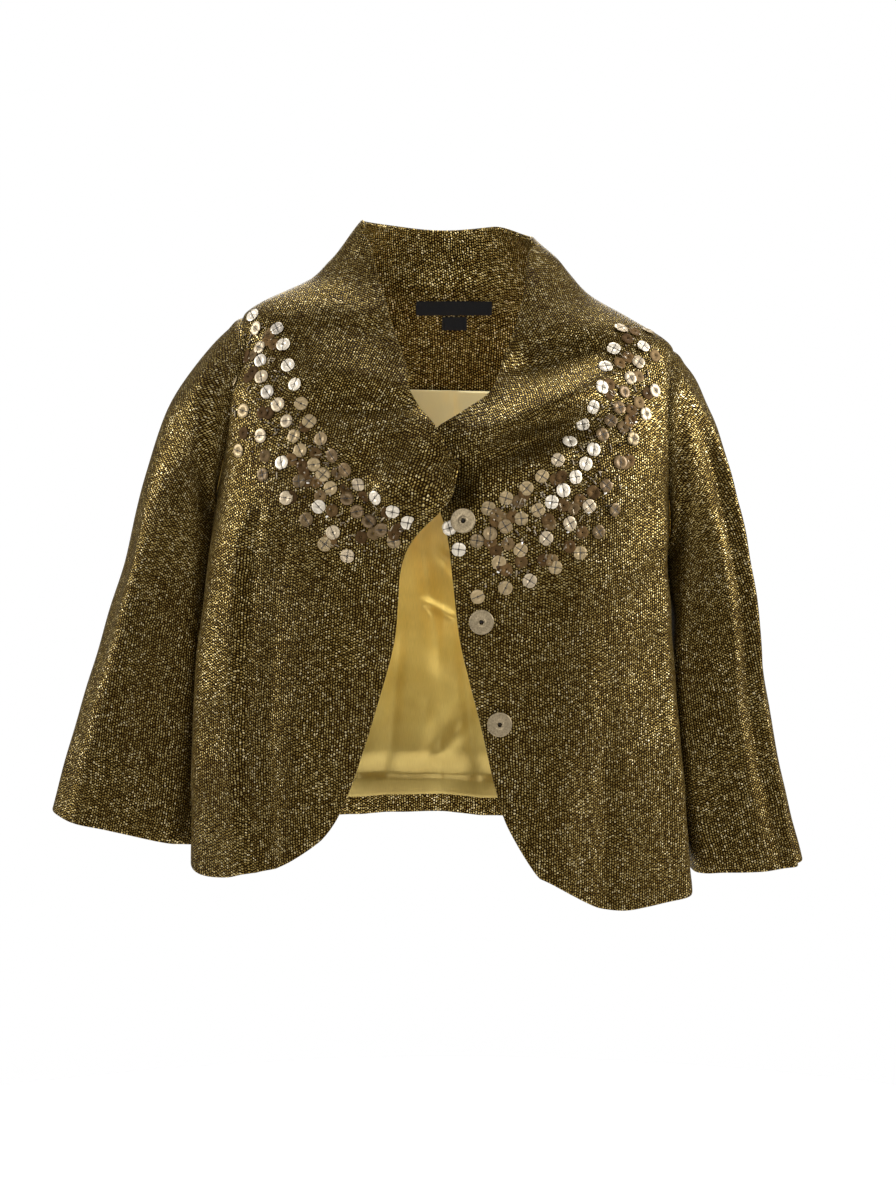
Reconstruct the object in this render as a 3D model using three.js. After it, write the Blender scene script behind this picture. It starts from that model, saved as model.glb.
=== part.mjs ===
// A cropped tweed jacket, filled out as if worn, in millimetres, +Z up, its front facing -Y.
// The origin is the middle of the neck base, between the shoulders. +X is the wearer's left.
// Every cloth piece is a thin wall on one shared form: rings round the body, rings down each sleeve.
import * as THREE from "three";

// ---- Driving dimensions ----
const TWEED = 2.2; // wall of the outer cloth
const FACING = 1.4; // wall of the back neck facing
const SATIN = 1.0; // wall of the lining
const SEAM_GAP = 0.4; // clearance between sewn pieces
const FRONT_TILT = 0.075; // the wearer's left side hangs lower: drop for each millimetre to the side
const BACK_TILT = 0.02; // the same at the middle of the back
const TIP_LEVEL = -33; // shoulder tip
const UNDERARM_LEVEL = -215;
const COLLAR_TOP_LEVEL = 59;
const TILT_FADE_LEVEL = 5; // the tilt of the fronts dies out from here to the top of the collar
const TILT_BACK_COS = -0.9; // cosine of the angle behind which BACK_TILT holds
const TILT_FRONT_COS = -0.1; // cosine of the angle in front of which FRONT_TILT holds
const ARMHOLE_HALF_DEPTH = 58;
const ARMHOLE_STEPS = 11; // rows of each panel between the shoulder tip and the underarm
const SKIRT_STEPS = 6; // rows between the hem and the underarm
const YOKE_STEPS = 8; // rows between the shoulder tip and the collar top
const YOKE_GROWTH = 1.4; // power by which the rows of the yoke grow further apart upwards
const MM_PER_DEGREE = 2.9; // mean girth of the body for one degree round it
const NORMAL_STEP = 0.4; // degrees and millimetres either side of a point, to find its normal

// Sections of the body, from the hem to the top of the funnel collar.
// squareness is the power of the section's outline: 2 is an ellipse, 4 nearly a box.
const BODY = [
  { level: -540, halfWidth: 228, front: 127, back: 112, squareness: 2.7, shiftX: -4, midY: 0 },
  { level: -500, halfWidth: 224, front: 128, back: 111, squareness: 2.7, shiftX: -4, midY: 0 },
  { level: -400, halfWidth: 214, front: 130, back: 108, squareness: 2.7, shiftX: -4, midY: 0 },
  { level: -300, halfWidth: 204, front: 129, back: 106, squareness: 2.7, shiftX: -3, midY: 0 },
  { level: -215, halfWidth: 196, front: 126, back: 106, squareness: 2.8, shiftX: 1, midY: 0 },
  { level: -150, halfWidth: 194, front: 118, back: 104, squareness: 2.9, shiftX: 5, midY: 0 },
  { level: -110, halfWidth: 194, front: 106, back: 100, squareness: 3.0, shiftX: 7, midY: 0 },
  { level: -80, halfWidth: 193, front: 92, back: 94, squareness: 3.0, shiftX: 8, midY: 1 },
  { level: -55, halfWidth: 192, front: 78, back: 86, squareness: 3.0, shiftX: 9, midY: 2 },
  { level: -33, halfWidth: 190, front: 67, back: 76, squareness: 2.9, shiftX: 9, midY: 3 },
  { level: -20, halfWidth: 173, front: 61, back: 70, squareness: 2.7, shiftX: 8, midY: 4 },
  { level: -8, halfWidth: 148, front: 56, back: 65, squareness: 2.5, shiftX: 6, midY: 6 },
  { level: 5, halfWidth: 124, front: 52, back: 60, squareness: 2.3, shiftX: 4, midY: 8 },
  { level: 23, halfWidth: 106, front: 47, back: 57, squareness: 2.2, shiftX: 2, midY: 10 },
  { level: 43, halfWidth: 86, front: 42, back: 54, squareness: 2.1, shiftX: 0, midY: 11 },
  { level: 60, halfWidth: 70, front: 36, back: 52, squareness: 2.0, shiftX: -1, midY: 12 },
];

// Front edges: how far to the side each edge lies at a level, from the collar top to the round hem corner.
const RIGHT_EDGE = [
  { level: -500, x: -128 },
  { level: -474, x: -106 },
  { level: -449, x: -92 },
  { level: -393, x: -72 },
  { level: -341, x: -57 },
  { level: -297, x: -46 },
  { level: -263, x: -43 },
  { level: -238, x: -41 },
  { level: -216, x: -33 },
  { level: -190, x: -14 },
  { level: -168, x: 3 },
  { level: -150, x: 8 },
  { level: -132, x: 0 },
  { level: -118, x: -11 },
  { level: -87, x: -33 },
  { level: -66, x: -36 },
  { level: -37, x: -47 },
  { level: -3, x: -58 },
  { level: 21, x: -65 },
  { level: 56, x: -70 },
];
const LEFT_EDGE = [
  { level: -520, x: 100 },
  { level: -492, x: 75 },
  { level: -452, x: 52 },
  { level: -419, x: 42 },
  { level: -369, x: 30 },
  { level: -327, x: 19 },
  { level: -293, x: 11 },
  { level: -243, x: 5 },
  { level: -209, x: 1 },
  { level: -186, x: -5 },
  { level: -160, x: -12 },
  { level: -135, x: -12 },
  { level: -118, x: -11 },
  { level: -104, x: 8 },
  { level: -83, x: 36 },
  { level: -64, x: 45 },
  { level: -29, x: 58 },
  { level: 15, x: 69 },
  { level: 56, x: 70 },
];

// The hem, by the angle round the body: 0 is the middle of the front, above 0 the wearer's left.
const HEM = [
  { angle: -180, level: -487 },
  { angle: -130, level: -491 },
  { angle: -92, level: -499 },
  { angle: -75, level: -517 },
  { angle: -62, level: -510 },
  { angle: -45, level: -506 },
  { angle: -20, level: -494 },
  { angle: 20, level: -497 },
  { angle: 42, level: -511 },
  { angle: 55, level: -520 },
  { angle: 66, level: -514 },
  { angle: 76, level: -504 },
  { angle: 92, level: -497 },
  { angle: 130, level: -491 },
  { angle: 180, level: -487 },
];

// The largest folds, as soft ridges (height above 0) and troughs (below 0), each from its lower end to its
// upper end, at full height for the share of its length named hold. Angles go round the body from the
// middle of the front, above 0 to the wearer's left.
const FOLDS = [
  { angle: -69, level: -540, topAngle: -72, topLevel: -140, halfWidth: 18, height: 6, hold: 0.3 },
  { angle: -60, level: -540, topAngle: -61, topLevel: -130, halfWidth: 12, height: -10, hold: 0.3 },
  { angle: -46, level: -540, topAngle: -44, topLevel: -230, halfWidth: 32, height: 6, hold: 0.15 },
  { angle: 72, level: -540, topAngle: 74, topLevel: -150, halfWidth: 20, height: 8, hold: 0.15 },
  { angle: 53, level: -540, topAngle: 55, topLevel: -220, halfWidth: 16, height: -7, hold: 0.15 },
  { angle: 36, level: -540, topAngle: 40, topLevel: -260, halfWidth: 26, height: 6, hold: 0.15 },
  { angle: -91, level: -600, topAngle: -91, topLevel: -180, halfWidth: 34, height: -17, hold: 0.6 },
  { angle: 92, level: -600, topAngle: 92, topLevel: -180, halfWidth: 30, height: -14, hold: 0.6 },
  { angle: 118, level: -540, topAngle: 112, topLevel: -210, halfWidth: 24, height: 9, hold: 0.15 },
  { angle: 134, level: -540, topAngle: 130, topLevel: -240, halfWidth: 20, height: -8, hold: 0.15 },
  { angle: 186, level: -540, topAngle: 180, topLevel: -250, halfWidth: 40, height: 6, hold: 0.15 },
  { angle: 242, level: -540, topAngle: 248, topLevel: -205, halfWidth: 25, height: 10, hold: 0.15 },
  { angle: 226, level: -540, topAngle: 230, topLevel: -260, halfWidth: 19, height: -7, hold: 0.15 },
];

// Sleeve rings below the armhole: the outer and inner ends of each ring seen from the front,
// its middle and half its size from front to back, and how far its front hangs lower.
const RIGHT_SLEEVE = [
  { outX: -207, outZ: -44, inX: -198, inZ: -213, midY: 2, halfDepth: 60, frontDrop: 0 },
  { outX: -233, outZ: -95, inX: -199, inZ: -228, midY: 2, halfDepth: 57, frontDrop: 0 },
  { outX: -260, outZ: -160, inX: -200, inZ: -258, midY: 2, halfDepth: 53, frontDrop: 0 },
  { outX: -289, outZ: -240, inX: -201, inZ: -303, midY: 1, halfDepth: 50, frontDrop: 1 },
  { outX: -315, outZ: -321, inX: -203, inZ: -362, midY: 0, halfDepth: 47, frontDrop: 1 },
  { outX: -341, outZ: -403, inX: -208, inZ: -428, midY: -2, halfDepth: 43, frontDrop: 2 },
  { outX: -357, outZ: -461, inX: -217, inZ: -487, midY: -4, halfDepth: 40, frontDrop: 3 },
];
const LEFT_SLEEVE = [
  { outX: 217, outZ: -72, inX: 200, inZ: -243, midY: 2, halfDepth: 60, frontDrop: 0 },
  { outX: 237, outZ: -112, inX: 200, inZ: -256, midY: 2, halfDepth: 57, frontDrop: 0 },
  { outX: 257, outZ: -178, inX: 199, inZ: -284, midY: 2, halfDepth: 54, frontDrop: 0 },
  { outX: 273, outZ: -256, inX: 199, inZ: -325, midY: 1, halfDepth: 51, frontDrop: 1 },
  { outX: 284, outZ: -345, inX: 201, inZ: -385, midY: 0, halfDepth: 49, frontDrop: 2 },
  { outX: 300, outZ: -425, inX: 207, inZ: -448, midY: -2, halfDepth: 46, frontDrop: 1 },
  { outX: 320, outZ: -506, inX: 217, inZ: -513, midY: -4, halfDepth: 42, frontDrop: 1 },
];
const SLEEVE_STEPS = 11; // rings down each sleeve

const BACK_COLUMNS = 20;
const FRONT_COLUMNS = 12;
const PATCH_COLUMNS = 6; // columns of the label and of the size tab
const FACING_STEPS = 4; // armhole rows that the neck facing reaches below the shoulder tip
const HEM_BAND = 17; // turned-up tweed that shows below the lining
const LAYER_GAP = 0.8; // clearance under the labels
const LABEL = { x: 5.5, z: -11, width: 69, height: 12, thickness: 0.8 };
const SIZE_TAB = { x: 6, z: -24.5, width: 22, height: 11, thickness: 0.7 };
const BUTTON = {
  diameter: 21,
  thickness: 2.4,
  hole: 4,
  rim: 7, // diameter of the raised ring round the hole
  raised: 0.6, // height of that ring
  bevel: 0.6,
  frontBevel: 0.8,
  frontRim: 0.9,
  ringSlope: 0.5,
  standOff: 0.5,
  segments: 28,
};
const BUTTONS = [
  { x: 12.5, level: -192 },
  { x: 28, level: -276 },
  { x: 44, level: -362 },
];
const HEM_CURVE_REACH = 130; // how far above the hem the rows still follow its curve
const CORNER_SHARE = 0.35; // share of a front's width that its round hem corner takes
const RIGHT_CORNER_LEVEL = -474; // where the front edge turns into the hem
const LEFT_CORNER_LEVEL = -492;
// The wearer's right front passes over the left one below the neck opening: by how much, within which
// angle from the middle, and from which level up to which.
const CROSSING = { lift: 5, fullAngle: 12, endAngle: 34, bottom: -235, full: -190, fullTop: -115, top: -70 };

// ---- Materials ----
const tweed = { color: 0x5a4a1c, roughness: 0.75, metalness: 0.15 };
const satin = { color: 0xb39232, roughness: 0.35, metalness: 0.1 };
const labelCloth = { color: 0x111214, roughness: 0.7, metalness: 0 };
const buttonMetal = { color: 0x8c7d5c, roughness: 0.45, metalness: 0.9 };

// ---- Tables read as smooth curves ----
// The value of one column where another column has a given value, on a cubic through the rows.
function smoothColumn(rows, along, column, at) {
  let i = 0;
  while (i < rows.length - 2 && at > rows[i + 1][along]) i += 1;
  const a = rows[i];
  const b = rows[i + 1];
  const before = rows[Math.max(i - 1, 0)];
  const after = rows[Math.min(i + 2, rows.length - 1)];
  const span = b[along] - a[along];
  const t = THREE.MathUtils.clamp((at - a[along]) / span, 0, 1);
  const slopeA = ((b[column] - before[column]) / (b[along] - before[along])) * span;
  const slopeB = ((after[column] - a[column]) / (after[along] - a[along])) * span;
  const tt = t * t;
  const ttt = tt * t;
  return (
    (2 * ttt - 3 * tt + 1) * a[column] +
    (ttt - 2 * tt + t) * slopeA +
    (3 * tt - 2 * ttt) * b[column] +
    (ttt - tt) * slopeB
  );
}

function sectionAt(level) {
  const section = {};
  for (const column of ["halfWidth", "front", "back", "squareness", "shiftX", "midY"])
    section[column] = smoothColumn(BODY, "level", column, level);
  return section;
}

const radians = THREE.MathUtils.degToRad;
const degrees = THREE.MathUtils.radToDeg;
const smooth = THREE.MathUtils.smoothstep;

// ---- The form of the body ----
// How far all folds together move the cloth outwards at one place.
function foldHeight(angle, level) {
  let height = 0;
  for (const fold of FOLDS) {
    const alongX = (fold.topAngle - fold.angle) * MM_PER_DEGREE;
    const alongZ = fold.topLevel - fold.level;
    const length = Math.hypot(alongX, alongZ);
    let turn = angle - fold.angle;
    if (turn > 180) turn -= 360;
    if (turn < -180) turn += 360;
    const fromX = turn * MM_PER_DEGREE;
    const fromZ = level - fold.level;
    const along = (fromX * alongX + fromZ * alongZ) / length;
    const across = (fromX * alongZ - fromZ * alongX) / length;
    const fade = 1 - smooth(along, length * fold.hold, length);
    height += fold.height * fade * Math.exp(-((across / fold.halfWidth) ** 2));
  }
  return height;
}

// How far the cloth at one place drops for each millimetre to the wearer's left.
function tiltAt(angle, level) {
  const belowCollar = 1 - smooth(level, TILT_FADE_LEVEL, COLLAR_TOP_LEVEL);
  const towardsFront = smooth(Math.cos(radians(angle)), TILT_BACK_COS, TILT_FRONT_COS) * belowCollar;
  return THREE.MathUtils.lerp(BACK_TILT, FRONT_TILT, towardsFront);
}

// A point of the body's outer surface: angle in degrees from the middle of the front, level in millimetres.
function formPoint(angle, level) {
  const section = sectionAt(level);
  const sin = Math.sin(radians(angle));
  const cos = Math.cos(radians(angle));
  const depth = cos > 0 ? section.front : section.back;
  const power = section.squareness;
  const reach =
    ((Math.abs(sin) / section.halfWidth) ** power + (Math.abs(cos) / depth) ** power) ** (-1 / power);
  const radius = reach + foldHeight(angle, level);
  const x = section.shiftX + radius * sin;
  const y = section.midY - radius * cos;
  return new THREE.Vector3(x, y, level - tiltAt(angle, level) * x);
}

function formNormal(angle, level) {
  const step = NORMAL_STEP;
  const round = formPoint(angle + step, level).sub(formPoint(angle - step, level));
  const up = formPoint(angle, level + step).sub(formPoint(angle, level - step));
  return round.cross(up).normalize();
}

// The angle at which the section at a level lies a given way to the side, on the front or the back.
function angleAtX(x, level, onBack) {
  const section = sectionAt(level);
  const share = Math.min(Math.abs(x - section.shiftX) / section.halfWidth, 1);
  const depth = onBack ? section.back : section.front;
  const y = depth * (1 - share ** section.squareness) ** (1 / section.squareness);
  return degrees(Math.atan2(x - section.shiftX, onBack ? -y : y));
}

// How many degrees the section turns from its side, at 90 degrees, to reach a given depth.
function turnToDepth(y, level, onBack) {
  const section = sectionAt(level);
  const depth = onBack ? section.back : section.front;
  const x = section.halfWidth * (1 - (y / depth) ** section.squareness) ** (1 / section.squareness);
  return degrees(Math.atan2(y, x));
}

// Half the depth of the armhole, from front to back, at a level.
function armholeHalfDepth(level) {
  const middle = (TIP_LEVEL + UNDERARM_LEVEL) / 2;
  const half = (TIP_LEVEL - UNDERARM_LEVEL) / 2;
  const share = (level - middle) / half;
  return ARMHOLE_HALF_DEPTH * Math.sqrt(Math.max(0, 1 - share * share));
}

// How far a panel stays from the side at a level: the seam gap, or the armhole.
function sideTurn(level, onBack) {
  return turnToDepth(Math.max(SEAM_GAP / 2, armholeHalfDepth(level)), level, onBack);
}

// ---- Thin walls ----
// A wall between an outer grid of points and the same grid moved in along its normals.
// pointAt(i, j) gives { point, normal }; wrap joins the last column to the first.
function wallGeometry(columns, rows, thickness, wrap, pointAt) {
  const across = wrap ? columns : columns + 1;
  const outer = [];
  const inner = [];
  for (let j = 0; j <= rows; j += 1)
    for (let i = 0; i < across; i += 1) {
      const { point, normal } = pointAt(i, j);
      outer.push(point);
      inner.push(point.clone().addScaledVector(normal, -thickness));
    }
  const positions = [...outer, ...inner].flatMap((p) => [p.x, p.y, p.z]);
  const inside = outer.length;
  const at = (i, j) => j * across + (i % across);
  const index = [];
  const quad = (a, b, c, d) => index.push(a, b, c, a, c, d);
  for (let j = 0; j < rows; j += 1)
    for (let i = 0; i < columns; i += 1) {
      const a = at(i, j);
      const b = at(i + 1, j);
      const c = at(i + 1, j + 1);
      const d = at(i, j + 1);
      quad(a, b, c, d);
      index.push(inside + a, inside + c, inside + b, inside + a, inside + d, inside + c);
    }
  for (let i = 0; i < columns; i += 1) {
    quad(at(i + 1, 0), at(i, 0), inside + at(i, 0), inside + at(i + 1, 0));
    quad(at(i, rows), at(i + 1, rows), inside + at(i + 1, rows), inside + at(i, rows));
  }
  if (!wrap)
    for (let j = 0; j < rows; j += 1) {
      quad(at(0, j), at(0, j + 1), inside + at(0, j + 1), inside + at(0, j));
      quad(at(columns, j + 1), at(columns, j), inside + at(columns, j), inside + at(columns, j + 1));
    }
  const geometry = new THREE.BufferGeometry();
  geometry.setAttribute("position", new THREE.Float32BufferAttribute(positions, 3));
  geometry.setIndex(index);
  return geometry;
}

// The rows of a body panel: even up the skirt, round the armhole, then up the yoke and collar.
function panelLevels(lowest) {
  const levels = [lowest];
  for (let k = 0; k < SKIRT_STEPS; k += 1)
    levels.push(THREE.MathUtils.lerp(lowest + HEM_BAND, UNDERARM_LEVEL, k / SKIRT_STEPS));
  levels.push(...armholeLevels().reverse());
  for (let k = 1; k <= YOKE_STEPS; k += 1)
    levels.push(THREE.MathUtils.lerp(TIP_LEVEL, COLLAR_TOP_LEVEL, (k / YOKE_STEPS) ** YOKE_GROWTH));
  return levels;
}

// The levels of the rows beside the armhole, from the shoulder tip down to the underarm.
function armholeLevels() {
  const middle = (TIP_LEVEL + UNDERARM_LEVEL) / 2;
  const half = (TIP_LEVEL - UNDERARM_LEVEL) / 2;
  return Array.from(
    { length: ARMHOLE_STEPS + 1 },
    (_, k) => middle + half * Math.cos((Math.PI * k) / ARMHOLE_STEPS),
  );
}

const BACK_LEVELS = panelLevels(hemLevel(180));
const FACING_ROW = SKIRT_STEPS + 1 + ARMHOLE_STEPS - FACING_STEPS; // the row of the facing's lower edge
const WHOLE_BACK = { firstColumn: 0, lastColumn: BACK_COLUMNS, firstRow: 0, lastRow: BACK_LEVELS.length - 1 };
const NECK_FACING = { ...WHOLE_BACK, firstRow: FACING_ROW };
const LINING = { firstColumn: 1, lastColumn: BACK_COLUMNS - 1, firstRow: 1, lastRow: FACING_ROW };

function hemLevel(angle) {
  return smoothColumn(HEM, "angle", "level", angle > 180 ? angle - 360 : angle);
}

// ---- Pieces ----
// One front, with its grown-on half of the funnel collar. side is 1 for the wearer's left.
function frontGeometry(side, edge, cornerLevel, lift) {
  const columns = FRONT_COLUMNS;
  const levels = panelLevels(cornerLevel);
  return wallGeometry(columns, levels.length - 1, TWEED, false, (i, j) => {
    const share = side > 0 ? i / columns : 1 - i / columns;
    const rowLevel = levels[j];
    const edgeAngle = angleAtX(smoothColumn(edge, "level", "x", rowLevel), rowLevel, false);
    const sideAngle = side * (90 - sideTurn(rowLevel, false));
    const angle = THREE.MathUtils.lerp(edgeAngle, sideAngle, share);
    const round = (1 - Math.min(1, share / CORNER_SHARE)) ** 2;
    const drop = (hemLevel(angle) - cornerLevel) * (1 - round);
    const level = rowLevel + drop * (1 - smooth(rowLevel, cornerLevel, cornerLevel + HEM_CURVE_REACH));
    const normal = formNormal(angle, level);
    const point = formPoint(angle, level).addScaledVector(normal, lift(angle, level));
    return { point, normal };
  });
}

// How far the overlapping front stands off the form at one place.
function crossingLift(angle, level) {
  const { lift, fullAngle, endAngle, bottom, full, fullTop, top } = CROSSING;
  const near = 1 - smooth(Math.abs(angle), fullAngle, endAngle);
  return lift * near * smooth(level, bottom, full) * (1 - smooth(level, fullTop, top));
}

// Where the columns and rows of the back lie on the form: its layers share them.
function backPlace(i, j) {
  const rowLevel = BACK_LEVELS[j];
  const lowest = BACK_LEVELS[0];
  const turn = 90 - sideTurn(rowLevel, true);
  const angle = 180 + THREE.MathUtils.lerp(-turn, turn, i / BACK_COLUMNS);
  const drop = (hemLevel(angle) - lowest) * (1 - smooth(rowLevel, lowest, lowest + HEM_CURVE_REACH));
  return { angle, level: rowLevel + drop };
}

// A layer of the back between two columns and two rows, moved in from the form by a depth.
function backLayer({ firstColumn, lastColumn, firstRow, lastRow }, thickness, depth) {
  return wallGeometry(lastColumn - firstColumn, lastRow - firstRow, thickness, false, (i, j) => {
    const place = backPlace(firstColumn + i, firstRow + j);
    const angle = place.angle;
    const level = place.level - (firstRow + j === lastRow ? SEAM_GAP : 0);
    const normal = formNormal(angle, level);
    return { point: formPoint(angle, level).addScaledVector(normal, -depth), normal };
  });
}

// A small patch that lies on the inside of the neck facing.
function patchGeometry({ x, z, width, height, thickness }) {
  const depth = TWEED + SEAM_GAP + FACING + LAYER_GAP;
  return wallGeometry(PATCH_COLUMNS, 1, thickness, false, (i, j) => {
    const across = x + width * (0.5 - i / PATCH_COLUMNS);
    const level = z + height * (j - 0.5) + BACK_TILT * across;
    const angle = angleAtX(across, level, true);
    const normal = formNormal(angle, level);
    return { point: formPoint(angle, level).addScaledVector(normal, -depth), normal };
  });
}

// The rings of a sleeve's outer surface, from the armhole to the cuff. Each ring's points go from its outer
// end to its front, its inner end and its back.
function sleeveRings(side, table) {
  const columns = 2 * ARMHOLE_STEPS;
  const armhole = [];
  for (let k = 0; k < columns; k += 1) {
    const onBack = k > ARMHOLE_STEPS;
    const step = onBack ? columns - k : k;
    const cos = Math.cos((Math.PI * step) / ARMHOLE_STEPS);
    const sin = Math.sin((Math.PI * step) / ARMHOLE_STEPS);
    const half = (TIP_LEVEL - UNDERARM_LEVEL) / 2 - SEAM_GAP;
    const level = (TIP_LEVEL + UNDERARM_LEVEL) / 2 + half * cos;
    const away = turnToDepth((ARMHOLE_HALF_DEPTH - SEAM_GAP) * sin, level, onBack);
    armhole.push(formPoint(side * (onBack ? 90 + away : 90 - away), level));
  }
  const rings = [armhole];
  for (const row of table) {
    const ring = [];
    for (let k = 0; k < columns; k += 1) {
      const cos = Math.cos((2 * Math.PI * k) / columns);
      const sin = Math.sin((2 * Math.PI * k) / columns);
      const x = THREE.MathUtils.lerp(row.inX, row.outX, 0.5 + cos / 2);
      const z = THREE.MathUtils.lerp(row.inZ, row.outZ, 0.5 + cos / 2);
      ring.push(new THREE.Vector3(x, row.midY - row.halfDepth * sin, z - row.frontDrop * sin));
    }
    rings.push(ring);
  }
  return rings;
}

// A sleeve as a tube through its rings, with a smooth curve down each line of points.
function sleeveGeometry(side, table) {
  const rings = sleeveRings(side, table);
  const columns = rings[0].length;
  const lines = rings[0].map((_, k) => new THREE.CatmullRomCurve3(rings.map((ring) => ring[k])));
  const pointAt = (i, j) => lines[((i % columns) + columns) % columns].getPoint(j / SLEEVE_STEPS);
  return wallGeometry(columns, SLEEVE_STEPS, TWEED, true, (i, j) => {
    const k = side > 0 ? i : columns - i;
    const point = pointAt(k, j);
    const down = pointAt(k, Math.min(j + 0.5, SLEEVE_STEPS)).sub(pointAt(k, Math.max(j - 0.5, 0)));
    const round = pointAt(k + 1, j).sub(pointAt(k - 1, j));
    const normal = round.cross(down).normalize().multiplyScalar(side);
    return { point, normal };
  });
}

// A flat metal disc with a raised ring round its hole, lying on the wearer's left front.
function buttonMesh(name, { x, level }) {
  const { thickness, raised, bevel, frontBevel, frontRim, ringSlope, standOff, segments } = BUTTON;
  const outside = BUTTON.diameter / 2;
  const ring = BUTTON.rim / 2;
  const hole = BUTTON.hole / 2;
  const profile = [
    new THREE.Vector2(hole, 0),
    new THREE.Vector2(outside - bevel, 0),
    new THREE.Vector2(outside, bevel),
    new THREE.Vector2(outside, thickness - frontRim),
    new THREE.Vector2(outside - frontBevel, thickness - raised),
    new THREE.Vector2(ring + ringSlope, thickness - raised),
    new THREE.Vector2(ring, thickness),
    new THREE.Vector2(hole, thickness),
    new THREE.Vector2(hole, 0),
  ];
  const mesh = new THREE.Mesh(new THREE.LatheGeometry(profile, segments), material(buttonMetal));
  const angle = angleAtX(x, level, false);
  const normal = formNormal(angle, level);
  mesh.name = name;
  mesh.position.copy(formPoint(angle, level)).addScaledVector(normal, standOff);
  mesh.quaternion.setFromUnitVectors(new THREE.Vector3(0, 1, 0), normal);
  return mesh;
}

function material(look) {
  return new THREE.MeshStandardMaterial(look);
}

function piece(name, geometry, look) {
  const mesh = new THREE.Mesh(geometry, material(look));
  mesh.name = name;
  return mesh;
}

const jacket = new THREE.Group();
const noLift = () => 0;
jacket.add(piece("back", backLayer(WHOLE_BACK, TWEED, 0), tweed));
jacket.add(piece("front_right", frontGeometry(-1, RIGHT_EDGE, RIGHT_CORNER_LEVEL, crossingLift), tweed));
jacket.add(piece("front_left", frontGeometry(1, LEFT_EDGE, LEFT_CORNER_LEVEL, noLift), tweed));
jacket.add(piece("sleeve_right", sleeveGeometry(-1, RIGHT_SLEEVE), tweed));
jacket.add(piece("sleeve_left", sleeveGeometry(1, LEFT_SLEEVE), tweed));
jacket.add(piece("back_neck_facing", backLayer(NECK_FACING, FACING, TWEED + SEAM_GAP), tweed));
jacket.add(piece("back_lining", backLayer(LINING, SATIN, TWEED + SEAM_GAP), satin));
jacket.add(piece("label", patchGeometry(LABEL), labelCloth));
jacket.add(piece("size_tab", patchGeometry(SIZE_TAB), labelCloth));
BUTTONS.forEach((place, i) => jacket.add(buttonMesh("button_" + (i + 1), place)));

export default jacket;
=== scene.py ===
"""A cropped tweed jacket with a gold lining and a sequin band, held in its worn shape with no wearer.

Each cloth piece is a fine thin wall on the same form as its solid in the frame. The form's tables are in
millimetres, and a mesh is turned into metres when it is made. +X is the wearer's left, the front faces -Y."""
import math

import bmesh
import bpy
import numpy as np
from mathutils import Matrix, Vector


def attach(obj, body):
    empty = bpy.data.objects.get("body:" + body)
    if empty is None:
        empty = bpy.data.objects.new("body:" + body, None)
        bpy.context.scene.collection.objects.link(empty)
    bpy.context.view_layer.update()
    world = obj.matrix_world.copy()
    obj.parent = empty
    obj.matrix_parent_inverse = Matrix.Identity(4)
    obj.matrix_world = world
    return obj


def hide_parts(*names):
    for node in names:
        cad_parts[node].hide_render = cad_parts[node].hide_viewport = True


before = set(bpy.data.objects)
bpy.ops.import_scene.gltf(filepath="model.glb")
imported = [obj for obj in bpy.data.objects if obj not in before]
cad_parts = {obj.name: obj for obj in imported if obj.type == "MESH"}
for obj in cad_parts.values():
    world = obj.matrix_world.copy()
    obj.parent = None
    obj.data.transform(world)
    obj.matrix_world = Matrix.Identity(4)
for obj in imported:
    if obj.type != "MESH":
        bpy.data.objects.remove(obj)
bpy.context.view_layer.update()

MM = 0.001
draw = np.random.default_rng(27)

# ---- Driving dimensions, in millimetres, and the solids' own but for the collar's finer form ----
TWEED = 2.2
FACING = 1.4
SATIN = 1.0
SEAM_GAP = 0.4
FRONT_TILT = 0.075
BACK_TILT = 0.02
TIP_LEVEL = -33
UNDERARM_LEVEL = -215
COLLAR_TOP_LEVEL = 59
# The top of the collar opens wider at its sides, is higher there than at its back, and drops at the right
# and the left of the neck. side and between are sines of the angle
COLLAR_FLARE = {"out": 5, "from": 20}
COLLAR_WAVE = {"height": 3.4, "turn": 14, "rise": 1.2, "from": 25}
COLLAR_ROUND = {"drop": (1, 13), "from": 30, "side": 0.7, "between": (-0.4, 0.4)}
TILT_FADE_LEVEL = 5  # the tilt of the fronts dies out from here to the top of the collar
TILT_TURN = (-0.9, -0.1)  # and round the side, between these cosines of the angle
ARMHOLE_HALF_DEPTH = 58
MM_PER_DEGREE = 2.9
HEM_BAND = 17
LAYER_GAP = 0.8
HEM_CURVE_REACH = 130
CORNER_SHARE = 0.35
RIGHT_CORNER_LEVEL = -474
LEFT_CORNER_LEVEL = -492
FACING_LEVEL = -86.2
YOKE_POWER = 1.4
CROSSING = {"lift": 5, "angles": (12, 34), "levels": (-235, -190, -115, -70)}
LABEL_DEPTH = TWEED + SEAM_GAP + FACING + LAYER_GAP  # how far behind the form the labels lie
LABEL = {"x": 5.5, "z": -11, "width": 69, "height": 12, "thickness": 0.8}
SIZE_TAB = {"x": 6, "z": -24.5, "width": 22, "height": 11, "thickness": 0.7}
BUTTON = {"diameter": 21, "thickness": 2.4, "hole": 4, "rim": 7, "raised": 0.6, "stand_off": 0.5}
BUTTONS = [(12.5, -192), (28, -276), (44, -362)]  # x, level

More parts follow.
